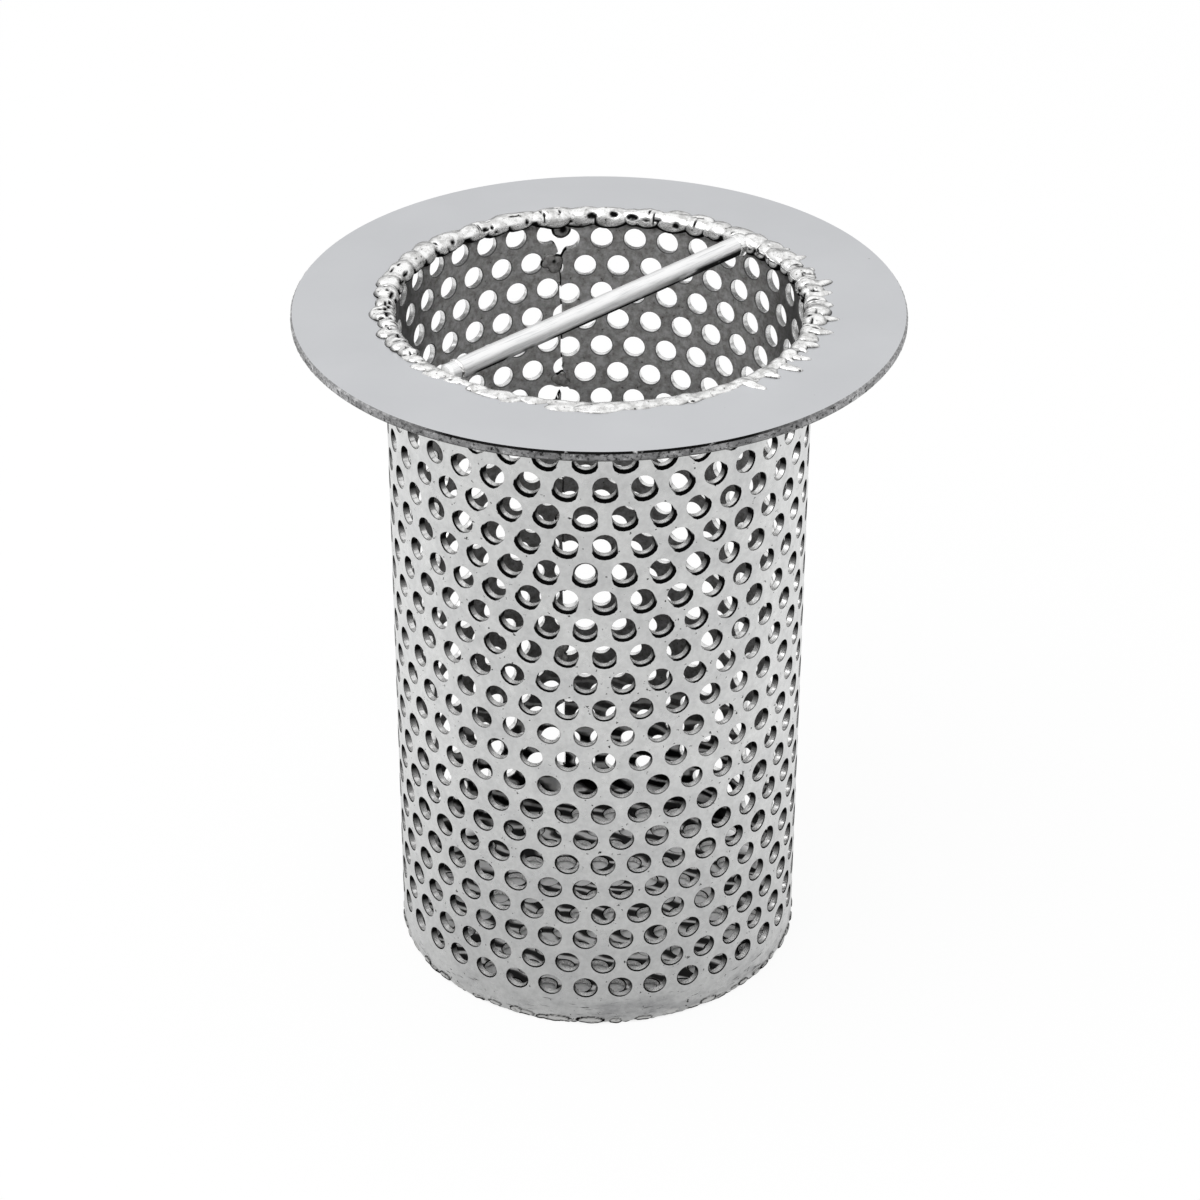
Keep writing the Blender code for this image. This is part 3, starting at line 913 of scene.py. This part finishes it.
def meltTogether(name, drops, pits, material, nodes, wall=None):
    shape = bmesh.new()
    for matrix in drops:
        bmesh.ops.create_icosphere(shape, subdivisions=2, radius=1, matrix=matrix)
    mesh = bpy.data.meshes.new(name + "_drops")
    shape.to_mesh(mesh)
    shape.free()
    melt = placed(name + "_melt", mesh)
    remesh = melt.modifiers.new("skin", "REMESH")
    remesh.mode = "VOXEL"
    remesh.voxel_size = weld["voxel"]
    soften = melt.modifiers.new("soften", "SMOOTH")
    soften.factor = 0.5
    soften.iterations = weld["smooth"]
    found = melt.evaluated_get(bpy.context.evaluated_depsgraph_get())
    skin = bpy.data.meshes.new_from_object(found)
    skin.name = name
    bpy.data.objects.remove(melt)
    places, ups = pointValues(skin, "co"), pointValues(skin, "normal")
    for middle, radius, depth in pits:
        gap = np.linalg.norm(places - np.array(middle), axis=1) / radius
        near = gap < weld["pitNear"]
        places[near] -= ups[near] * (depth * np.exp(-weld["pitFall"] * gap[near] ** 2))[:, None]
    places[:, 2] = np.minimum(places[:, 2], topLimit - weld["below"])
    # painted shade, partly oxide: darker in the skin's hollows, black in and round the pits
    shade = rise(hollowness(skin, places, ups), *weld["hollow"])
    full, fall = weld["pitShade"]
    for middle, radius, depth in pits:
        gap = np.linalg.norm(places - np.array(middle), axis=1) / radius
        shade = np.maximum(shade, np.clip(full - fall * gap, 0, 1))
    if wall:
        # black where the metal meets the wall
        away = wall - np.linalg.norm(places[:, :2], axis=1)
        shade = np.maximum(shade, np.clip(weld["outlineFull"] - away / weld["outline"], 0, 1))
    storeShadeAndSoot(skin, shade)
    skin.vertices.foreach_set("co", places.ravel())
    skin.update()
    skin.shade_smooth()
    skin.materials.clear()
    piece = placed(name, skin, material)
    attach(piece, "root")
    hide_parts(*nodes)
    print("strainer:", name, len(drops), "drops,", len(skin.polygons), "faces")


# the bead round the mouth is a strip that bends over the ring's edge into the bore, raised where metal
# flowed; a place on it is an angle and a reach in mm, outwards on the ring below 0, down the bore above 0
rimBead = {
    "angles": 1500,
    "flatFrom": -8.4,
    "flatSteps": 32,
    "bend": 1.3,
    "bendSteps": 9,
    "deepTo": 3.2,
    "deepSteps": 10,
    "mouthGap": 0.2,
    "stepDown": 0.02,
    "closing": 1.0,
    "sunk": 0.15,
    "core": {"outer": 1.9, "inner": 1.4, "high": 0.5},
    "columns": ("from", "to", "step", "long", "outer", "inner", "high", "lean", "wild", "point"),
    "stretches": (
        (104, 140, 8.6, 6.0, 3.8, 2.2, 1.4, 12, 0.1, 2.0),
        (140, 164, 6.8, 5.2, 4.3, 2.4, 1.5, 20, 0.15, 2.0),
        (164, 214, 5.4, 3.6, 4.0, 2.6, 1.5, 14, 0.5, 2.0),
        (214, 244, 6.0, 3.8, 3.0, 0.9, 0.65, 38, 0.6, 1.4),
        (244, 318, 8.5, 6.2, 4.4, 0.7, 0.55, 9, 0.8, 1.5),
        (318, 345, 5.4, 2.6, 4.4, 1.4, 0.9, -35, 0.5, 1.5),
        (345, 390, 5.4, 2.7, 4.6, 2.8, 1.3, -14, 0.4, 1.9),
        (390, 428, 6.0, 4.2, 4.6, 2.6, 1.5, 28, 0.3, 1.9),
        (428, 464, 8.2, 6.0, 3.6, 3.2, 1.5, 6, 0.25, 1.9),
        (-50, 38, 6.8, 1.25, 7.0, 0.5, 0.8, 10, 0.4, 1.6),
    ),
    "leans": (0.3, 1.6),
    "tilts": (-0.3, 0.55),
    "steps": (0.8, 1.2),
    "bud": {"share": (0.35, 0.6), "aside": (0.3, 0.7), "outer": 1.5, "inner": 0.8, "high": 0.85, "tilt": 0.2},
    "flatness": 0.36,
    "wrinkle": 0.10,
    "wrinkleFine": 0.15,
    "wrinkleFull": 0.4,
    "wrinkleReach": (5, 40),
    "pits": ((92.2, 0.3, 1.4, 0.5), (85.8, 0.0, 1.2, 0.5), (80.4, 0.3, 1.7, 0.55), (183, -1.2, 0.4, 1.3),
             (179, 0.3, 0.35, 0.9), (188, -0.6, 0.4, 1.0), (194, 0.2, 0.35, 0.8), (203, -0.8, 0.9, 0.4),
             (67, 0.8, 0.9, 0.5)),
    "smallPits": 34,
    "smallPitAngles": ((-40, 60), (95, 165), (165, 235)),
    "smallPit": ((-2.2, 1.2), (0.3, 0.6), (0.22, 0.4)),
    "strokes": ((160, 216, 34), (335, 398, 30), (60, 110, 10), (110, 160, 8)),
    "stroke": ((0.6, 1.6), (0.22, 0.36)),
    "strokeReach": (-2.8, 1.6),
    "strokeAcross": (0.5, 0.8),
    "pitDepth": 0.7,
    "pitFall": 1.2,
    "pitFrom": 0.3,
    "pitShade": (1.9, 1.3),
    "pitFloorFrom": 1.3,
    "pitFloor": (3, 0.2),
    "creaseReach": 4,
    "crease": (0.04, 0.09),
    "crest": 0.4,
    "outerLine": 0.5,
    "outerEdge": (0.85, 0.95),
    "innerEdge": (0.46, 0.60),
}


def beadSection():
    # reach, middle radius, height and outward direction of each line of the strip
    bend = rimBead["bend"]
    half = bend * math.pi / 4
    mouth = boreRadius / mm + rimBead["mouthGap"]
    top = ringTop / mm
    lines = []
    for i in range(rimBead["flatSteps"]):
        reach = rimBead["flatFrom"] + (-half - rimBead["flatFrom"]) * i / rimBead["flatSteps"]
        lines.append((reach, mouth + bend - (reach + half), top, 0.0, 1.0))
    for i in range(rimBead["bendSteps"] + 1):
        turn = math.pi / 2 * i / rimBead["bendSteps"]
        out, up = -math.sin(turn), math.cos(turn)
        reach = half * (2 * i / rimBead["bendSteps"] - 1)
        lines.append((reach, mouth + bend + out * bend, top - bend + up * bend, out, up))
    for i in range(1, rimBead["deepSteps"] + 1):
        reach = half + (rimBead["deepTo"] - half) * i / rimBead["deepSteps"]
        lines.append((reach, mouth, top - bend - (reach - half), -1.0, 0.0))
    return np.array(lines)


def rimLumps(rng):
    lumps = []
    bud = rimBead["bud"]
    for row in rimBead["stretches"]:
        stretch = dict(zip(rimBead["columns"], row))
        angle, wild, point = stretch["from"], stretch["wild"], stretch["point"]

        def vary(key):
            return stretch[key] * rng.uniform(1 - wild / 2, 1 + wild / 2)

        while angle < stretch["to"]:
            lean = stretch["lean"] * rng.uniform(*rimBead["leans"])
            lumps.append((angle, vary("outer"), vary("inner"), vary("long"), vary("high"), lean,
                          rng.uniform(*rimBead["tilts"]), point))
            if rng.random() < wild:
                share = rng.uniform(*bud["share"])
                side = angle + stretch["step"] * rng.uniform(*bud["aside"])
                lumps.append((side, vary("outer") * share * bud["outer"], vary("inner") * bud["inner"],
                              stretch["long"] * share, vary("high") * bud["high"], -lean, bud["tilt"], point))
            angle += stretch["step"] * rng.uniform(*rimBead["steps"])
    return lumps


def rimPits(rng):
    # angle, reach and half widths of each pit: the large ones, small ones and thin strokes
    spots = list(rimBead["pits"])
    for _ in range(rimBead["smallPits"]):
        angle = rng.choice([rng.uniform(*span) for span in rimBead["smallPitAngles"]])
        spots.append((angle, *(rng.uniform(*span) for span in rimBead["smallPit"])))
    chance, shorter = rimBead["strokeAcross"]
    for first, last, number in rimBead["strokes"]:
        for _ in range(number):
            long, wide = (rng.uniform(*span) for span in rimBead["stroke"])
            if rng.random() < chance:
                long, wide = wide, shorter * long
            spots.append((rng.uniform(first, last), rng.uniform(*rimBead["strokeReach"]), long, wide))
    return spots


def softened(grid, times):
    for _ in range(times):
        grid = (np.roll(grid, 1, 0) + np.roll(grid, -1, 0) + 2 * grid) / 4
        padded = np.pad(grid, ((0, 0), (1, 1)), "edge")
        grid = (padded[:, :-2] + padded[:, 2:] + 2 * grid) / 4
    return grid


def raiseLump(high, rim, near, dome, spread):
    # the dome stands where it is the highest; rim keeps how far out on its lump each point lies
    wins = (spread < 1) & (dome > high[near])
    high[near] = np.where(wins, dome, high[near])
    rim[near] = np.where(wins, spread, rim[near])
    return wins


def rimWeld(material):
    rng = random.Random(11)
    noise = np.random.default_rng(5)
    section = beadSection()
    reach, middle = section[:, 0], ringBore / mm
    count = rimBead["angles"]
    turns = fullTurn(count)
    core = rimBead["core"]
    across = np.where(reach < 0, reach / core["outer"], reach / core["inner"])
    high = np.repeat((core["high"] * np.sqrt(np.clip(1 - across ** 2, 0, 1)))[None, :], count, 0)
    high[:, np.abs(across) >= 1] = -rimBead["sunk"]
    rim = np.zeros_like(high)
    for angle, outer, inner, long, lift, lean, tilt, point in rimLumps(rng):
        along = arcFrom(turns, angle, middle)
        near = np.abs(along) < max(long, outer + inner) + 1
        a, b = along[near][:, None], (reach - (inner - outer) / 2)[None, :]
        c, d = math.cos(math.radians(lean)), math.sin(math.radians(lean))
        x, y = (c * a + d * b) / long, (c * b - d * a) / ((outer + inner) / 2)
        # below a power of 2 the oval turns into a leaf
        spread = np.abs(x) ** point + np.abs(y) ** point
        dome = np.clip(1 - spread, 0, 1) ** rimBead["flatness"] * lift * (1 + tilt * x)
        raiseLump(high, rim, near, dome, spread)
    # the skin's own wrinkles, then pits
    grain, broad = (softened(noise.normal(0, 1, high.shape), times) for times in rimBead["wrinkleReach"])
    rough = rimBead["wrinkle"] * (grain / grain.std() * rimBead["wrinkleFine"] + broad / broad.std())
    high = softened(np.where(high > 0, high + rough * rise(high, 0, rimBead["wrinkleFull"]), high), 1)
    shadeAndSoot = np.zeros_like(high)
    for angle, place, long, wide in rimPits(rng):
        along = arcFrom(turns, angle, middle)
        gap = (along[:, None] / long) ** 2 + ((reach[None, :] - place) / wide) ** 2
        high -= rimBead["pitDepth"] * np.exp(-gap * rimBead["pitFall"]) * (high > rimBead["pitFrom"])
        # painted shade: each pit is black, fading outwards
        full, fall = rimBead["pitShade"]
        black = np.clip(full - gap * fall, 0, 1)
        if long > rimBead["pitFloorFrom"]:
            # the widest pits keep a bright floor
            grows, starts = rimBead["pitFloor"]
            black *= np.clip(gap * grows - starts, 0, 1)
        shadeAndSoot = np.maximum(shadeAndSoot, black)
    # painted shade, partly oxide: black in the creases
    shadeAndSoot = np.maximum(shadeAndSoot, rise(softened(high, rimBead["creaseReach"]) - high, *rimBead["crease"]))
    # painted shade along the edges of the lumps, black, most on the bore's side
    outward = reach < rimBead["crest"]
    shadeAndSoot = np.maximum(shadeAndSoot, rimBead["outerLine"] * rise(rim, *rimBead["outerEdge"]) * outward[None, :])
    shadeAndSoot = np.maximum(shadeAndSoot, rise(rim, *rimBead["innerEdge"]) * ~outward[None, :])
    out = section[None, :, 1] + section[None, :, 3] * high
    up = np.minimum(section[None, :, 2] + section[None, :, 4] * high, (topLimit - weld["below"]) / mm)
    # below the last raised line the strip stops short, clear of the holes
    order = np.arange(len(reach))[None, :]
    raised = np.where(high > 0, order, 0).max(1)
    below = order - raised[:, None]
    up = np.where(below > 0, up[np.arange(count), raised][:, None] - rimBead["stepDown"] * below, up)
    # one more line closes the strip inside the metal
    out = np.concatenate([out, np.full((count, 1), boreRadius / mm + rimBead["closing"])], 1)
    up = np.concatenate([up, np.full((count, 1), ringTop / mm - rimBead["closing"])], 1)
    shadeAndSoot = np.concatenate([shadeAndSoot, np.ones((count, 1))], 1)
    sections = np.stack([out, up], 2) * mm
    piece = turned("rim_bead", sections, [0] * sections.shape[1], (material,), turns)
    storeShadeAndSoot(piece.data, shadeAndSoot)
    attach(piece, "root")
    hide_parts("rim_weld")
    print("strainer: rim bead", len(piece.data.polygons), "faces")


# the rod and the welds at its ends
rod = {
    "radius": (rodHigh - rodLow) / 2,
    "angle": 45,
    "sides": 64,
    "stations": 40,
    "endGap": 0.2 * mm,
    "endBreak": 0.4 * mm,
    "sharpFrom": 40,
    "colours": ((0.98, 0.98, 0.98), (0.76, 0.765, 0.77)),
    "lines": ((0.0004, 4, 0.65, (0.04, 1, 1)), (0.50, 0.66)),
    "rough": ((0.0005, 2, 0.5, (0.04, 1, 1)), (0.3, 0.7, 0.34, 0.42)),
    "underShadeAndWaves": (0.03, 0.03, 0.03),
    "under": (-0.05, -0.42),
    "wander": ((0.006, 3, 0.6, (0.4, 1, 1)), (0.34, 0.48)),
    "half": (0.25, -0.05),
    "toBack": (0.008, 0.034),
    "waves": ((0.0025, 2, 0.5, (0.3, 1, 1)), (0.36, 0.46)),
}


def rodSteel():
    finish = Finish("rod_steel", 0.25)
    base = finish.blend(finish.patches(*rod["lines"]), *rod["colours"])
    # painted shade along its underside, and dark in waves on its lower half towards the back end
    under, half = (finish.level(finish.side("Z"), *(share * rod["radius"] for share in rod[key]))
                   for key in ("under", "half"))
    underShade = finish.times(under, finish.patches(*rod["wander"]))
    toBack = finish.level(finish.side("X"), *rod["toBack"])
    burnt = finish.times(finish.times(half, toBack), finish.patches(*rod["waves"]))
    finish.shadedAndSooted(base, finish.patches(*rod["rough"]), finish.most(underShade, burnt), rod["underShadeAndWaves"])
    return finish.material


def handleRod():
    radius, sides, cut = rod["radius"], rod["sides"], rod["endBreak"]
    reach = math.sqrt(boreRadius ** 2 - radius ** 2) - rod["endGap"]
    stations = [-reach, *np.linspace(cut - reach, reach - cut, rod["stations"] + 1), reach]
    vertices = []
    for x in stations:
        r = radius - cut if abs(x) == reach else radius
        vertices += [(x, r * math.cos(a), r * math.sin(a)) for a in fullTurn(sides)]
    faces = [tuple(reversed(range(sides)))]
    for i in range(len(stations) - 1):
        for k in range(sides):
            j = (k + 1) % sides
            faces.append((i * sides + k, i * sides + j, (i + 1) * sides + j, (i + 1) * sides + k))
    faces.append(tuple(range(len(vertices) - sides, len(vertices))))
    mesh = meshOf("lift_rod", vertices, faces)
    mesh.shade_smooth()
    mesh.set_sharp_from_angle(angle=math.radians(rod["sharpFrom"]))
    piece = placed("lift_rod", mesh, rodSteel())
    piece.location.z = rodMiddle
    piece.rotation_euler.z = math.radians(rod["angle"])
    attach(piece, "root")
    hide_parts("handle_rod")
    print("strainer: rod made")


rodEnds = {
    "back": {
        "turn": 0,
        "seed": 21,
        "collarAt": 50.0 * mm,
        "collar": (0.8 * mm, 1.9 * mm, 0.5 * mm),
        "cap": (51.6 * mm, -0.2 * mm, (2.4 * mm, 2.6 * mm, 2.2 * mm)),
        "narrow": 1.4 * mm,
        "widening": 1.2 * mm,
        "heights": (-1.9 * mm, 0.4 * mm),
    },
    "front": {
        "turn": 180,
        "seed": 22,
        "collarAt": 47.6 * mm,
        "collar": (0.62 * mm, 0.55 * mm, 0.5 * mm),
        "cap": (48.2 * mm, 0, (2.2 * mm, 1.2 * mm, 2.2 * mm)),
        "narrow": 0.5 * mm,
        "widening": 1.0 * mm,
        "heights": (-1.9 * mm, 0.1 * mm),
    },
}
rodWeld = {
    "collarDrops": 24,
    "collarSunk": 0.05 * mm,
    "globs": 7,
    "globsTo": 53.5 * mm,
    "globSizes": ((0.9, 1.5), (1.5, 2.4), (0.7, 1.1)),
    "globTwist": 30,
    "flattening": 0.4,
}


def rodEndWeld(where, material):
    end = rodEnds[where]
    angle = rod["angle"] + end["turn"]
    rng = random.Random(end["seed"])
    drops = []
    # a smooth collar round the rod
    r = rod["radius"] - rodWeld["collarSunk"]
    for a in fullTurn(rodWeld["collarDrops"]):
        spread = math.degrees(math.cos(a) * r / end["collarAt"])
        height = min(rodMiddle + math.sin(a) * r, topLimit - end["collar"][2])
        place = around(angle + spread, end["collarAt"], height)
        drops.append(drop(place, end["collar"], math.radians(angle + 90)))
    out, up, size = end["cap"]
    up = min(rodMiddle + up, topLimit - size[2])
    drops.append(drop(around(angle, out, up), size, math.radians(angle + 90)))
    # globs that run from the collar to the rim
    for i in range(rodWeld["globs"]):
        share = (i + 0.5) / rodWeld["globs"]
        out = end["collarAt"] + (rodWeld["globsTo"] - end["collarAt"]) * share
        side = rng.uniform(-1, 1) * (end["narrow"] + end["widening"] * share)
        size = tuple(rng.uniform(*sizes) * mm for sizes in rodWeld["globSizes"])
        height = rodMiddle + rng.uniform(*end["heights"]) * (1 - rodWeld["flattening"] * share)
        place = around(angle + math.degrees(side / out), out, min(height, topLimit - size[2]))
        twist = rng.uniform(-rodWeld["globTwist"], rodWeld["globTwist"])
        drops.append(drop(place, size, math.radians(angle + 90 + twist)))
    meltTogether("rod_weld_" + where, drops, [], material, ["handle_weld_" + where])


# round melted patches that bridge the seam, and pits in them: right of it, drop and radius, in mm
seamPatches = {
    "seam_tack_1": ((0.3, -3.7, 2.8), (0.1, -1.6, 2.8), (-2.9, -12.0, 2.2), (-1.6, -14.2, 2.3),
                    (-0.8, -12.6, 1.9), (-4.0, -13.2, 1.5)),
    "seam_tack_2": ((-0.3, -47.3, 2.1), (1.2, -48.3, 1.7), (-1.6, -46.8, 1.4), (0.4, -45.9, 1.2)),
    "seam_tack_3": ((0.0, -89.5, 2.2), (0.6, -91.5, 1.8), (-0.6, -93.0, 1.6)),
    "seam_tack_4": ((0.0, -131.5, 2.2), (-0.7, -133.5, 1.8), (0.5, -135.0, 1.6)),
}
seamPits = {
    "seam_tack_1": ((0.6, -3.6, 0.9), (-1.8, -12.5, 0.5), (-3.9, -13.2, 0.3)),
}
tack = {
    "thick": 0.95 * mm,
    "sunk": 0.5 * mm,
    "pitDepth": 0.3 * mm,
}
tackLook = {
    "roughness": 0.35,
    "colours": ((0.40, 0.395, 0.39), (0.17, 0.165, 0.16)),
    "patches": ((0.0016, 5, 0.7), (0.42, 0.62)),
    "rough": ((0.002,), (0.3, 0.7, 0.28, 0.45)),
    "grain": ((0.0007, 3, 0.6), 0.00004),
    "shadedAndSooted": True,
}


def seamTacks(material):
    def spot(right, down, out):
        angle = sheet["seam"] - math.degrees(right * mm / midRadius)
        return around(angle, boreRadius + out, ringTop + down * mm), math.radians(angle + 90)

    for node, patches in seamPatches.items():
        drops = []
        for right, down, size in patches:
            place, turn = spot(right, down, tack["sunk"])
            drops.append(drop(place, (size * mm, tack["thick"], size * mm), turn))
        pits = [(spot(right, down, 0)[0], size * mm, tack["pitDepth"])
                for right, down, size in seamPits.get(node, ())]
        meltTogether(node + "_patch", drops, pits, material, [node], boreRadius)


# the ragged bead along the lower edge; a lump has an angle, a height, two half widths and a lift, in mm
lowBead = {
    "steps": 1080,
    "rows": 12,
    "reach": 3.4,
    "below": 0.22 * mm,
    "ragged": 0.5,
    "raggedOver": 7,
    "floor": (-0.2, -0.12),
    "arches": ((268.0, 1.2, 3.9, 1.1, 0.5), (258.8, 1.3, 3.6, 0.8, 0.4), (249.0, 1.0, 3.0, 0.9, 0.3)),
    "lumps": ((0.5, 1.3), (1.4, 3.2), (0.5, 1.1), (0.15, 0.42)),
    "lumpStep": 5.5,
    "lumpSpread": (0.5, 1.5),
    "flatness": 0.4,
    "outline": (0.5, 0.64),
    "outlined": (0.2, 0.35),
    "depths": (0.45 * mm, 0.5 * mm, 0.6 * mm),
}
lowBeadLook = {
    "roughness": 0.35,
    "colours": ((0.46, 0.46, 0.455), (0.12, 0.12, 0.115)),
    "patches": ((0.0022, 5, 0.7, (1, 1, 2)), (0.55, 0.70)),
    "rough": ((0.001,), (0.3, 0.7, 0.28, 0.5)),
    "grain": ((0.0007, 4, 0.65), 0.00007),
    "shadedAndSooted": True,
}


def smoothNoise(rng, count, width):
    values = rng.normal(0, 1, count)
    kernel = np.hanning(width + 2)
    kernel /= np.sqrt((kernel ** 2).sum())
    return np.real(np.fft.ifft(np.fft.fft(values) * np.fft.fft(kernel, count)))


def lowWeld():
    rng = np.random.default_rng(17)
    pick = random.Random(23)
    steps, rows = lowBead["steps"], lowBead["rows"]
    angles = fullTurn(steps)
    ragged = 1 + lowBead["ragged"] * smoothNoise(rng, steps, lowBead["raggedOver"])
    low = np.array([raggedEdge(angle) for angle in angles]) - lowBead["below"] * ragged
    low = np.maximum(low, 0) / mm
    lumps = list(lowBead["arches"])
    angle = 0
    while angle < 360:
        lumps.append((angle, *(pick.uniform(*sizes) for sizes in lowBead["lumps"])))
        angle += lowBead["lumpStep"] * pick.uniform(*lowBead["lumpSpread"])
    heights = low[:, None] + (lowBead["reach"] - low[:, None]) * np.linspace(0, 1, rows)[None, :]
    out = np.full((steps, rows), lowBead["floor"][1])
    out[:, 0] = lowBead["floor"][0]
    rim, bold = np.zeros((2, steps, rows))
    for angle, height, wide, tall, lift in lumps:
        along = arcFrom(angles, angle, bodyRadius / mm)
        spread = (along[:, None] / wide) ** 2 + ((heights - height) / tall) ** 2
        dome = np.clip(1 - spread, 0, 1) ** lowBead["flatness"] * lift
        bold[raiseLump(out, rim, slice(None), dome, spread)] = lift
    out = np.minimum(out, (ringRadius - bodyRadius) / mm) * mm + bodyRadius

    def line(radius, height):
        return np.stack([np.full(steps, radius), height * np.ones(steps)], 1)[:, None]

    corner, top, inner = lowBead["depths"]
    inner = plateRadius - inner
    sections = np.concatenate([line(inner, low * mm), line(bodyRadius - corner, low * mm),
                               np.stack([out, heights * mm], 2),
                               line(bodyRadius - top, heights[:, -1] * mm), line(inner, bodyLow)], 1)
    steel = mottledSteel("low_bead", lowBeadLook)
    piece = turned("low_bead", sections, [0] * sections.shape[1], (steel,), angles)
    # painted shade: black along the foot of the bead and round the edges of its lumps
    edge = rise(rim, *lowBead["outline"]) * rise(bold, *lowBead["outlined"])
    edge[:, :2] = 1
    storeShadeAndSoot(piece.data, np.concatenate([np.ones((steps, 2)), edge, np.zeros((steps, 2))], 1))
    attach(piece, "root")
    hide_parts("bottom_weld")
    print("strainer: lower bead made")


handleRod()
weldMetal = mottledSteel("weld_steel", weldLook)
rimWeld(weldMetal)
rodEndWeld("back", weldMetal)
rodEndWeld("front", weldMetal)
seamTacks(mottledSteel("tack_steel", tackLook))
lowWeld()


# pale floor, soft studio light
studio = {
    "floorSize": 6,
    "floorBelow": 0.1 * mm,
    "floorColour": (0.88, 0.88, 0.88),
    "floorShade": (0.047, 0.053, 0.0, 0.92),
    "sky": ((0.10, 0.36), (0.33, 0.80), (0.45, 0.82), (0.56, 1.0)),
    "lampPlace": (-0.9, -0.7, 1.7),
    "lampSize": 2.2,
    "lampPower": 17,
}


def paleFloor():
    half = studio["floorSize"] / 2
    corners = [(-half, -half, 0), (half, -half, 0), (half, half, 0), (-half, half, 0)]
    material = bpy.data.materials.new("floor_white")
    material.use_nodes = True
    nodes = Nodes(material.node_tree)
    nodes.tree.nodes.remove(nodes.tree.nodes["Principled BSDF"])
    paint = nodes.add("ShaderNodeBsdfDiffuse")
    nodes.feed(studio["floorColour"], paint.inputs["Color"])
    glow = nodes.add("ShaderNodeEmission")
    nodes.feed((1, 1, 1), glow.inputs["Color"])
    nodes.feed(1, glow.inputs["Strength"])
    # white for rays from the camera, from gloss and through glass
    path = nodes.add("ShaderNodeLightPath").outputs
    seen = nodes.most(nodes.most(path["Is Camera Ray"], path["Is Glossy Ray"]), path["Is Transmission Ray"])
    # under the basket the floor keeps its full shadow
    reach = nodes.add("ShaderNodeVectorMath", operation="LENGTH")
    nodes.feed(nodes.place, reach.inputs[0])
    clear = nodes.level(reach.outputs["Value"], *studio["floorShade"])
    mix = nodes.add("ShaderNodeMixShader")
    nodes.feed(nodes.times(seen, clear), mix.inputs["Fac"])
    nodes.feed(paint.outputs["BSDF"], mix.inputs[1])
    nodes.feed(glow.outputs["Emission"], mix.inputs[2])
    nodes.feed(mix.outputs["Shader"], nodes.tree.nodes["Material Output"].inputs["Surface"])
    floor = placed("floor", meshOf("floor", corners, [(0, 1, 2, 3)]), material)
    floor.location.z = -studio["floorBelow"]


def studioLight():
    world = bpy.data.worlds.new("studio")
    bpy.context.scene.world = world
    world.use_nodes = True
    # the room is darker near the horizon
    nodes = Nodes(world.node_tree, "Generated")
    ramp = nodes.add("ShaderNodeValToRGB")
    stops = ramp.color_ramp.elements
    for number, (height, level) in enumerate(studio["sky"]):
        stop = stops[number] if number < 2 else stops.new(height)
        stop.position = height
        stop.color = (level, level, level, 1)
    nodes.feed(nodes.side("Z"), ramp.inputs["Fac"])
    nodes.feed(ramp.outputs["Color"], nodes.tree.nodes["Background"].inputs["Color"])
    lamp = bpy.data.lights.new("softbox_1", "AREA")
    lamp.shape = "DISK"
    lamp.size = studio["lampSize"]
    lamp.energy = studio["lampPower"]
    holder = placed("softbox_1", lamp)
    holder.location = studio["lampPlace"]
    holder.rotation_euler = (-Vector(studio["lampPlace"])).to_track_quat("-Z", "Y").to_euler()


paleFloor()
studioLight()
bpy.context.scene.view_settings.view_transform = "Standard"
print("strainer: floor and light set")
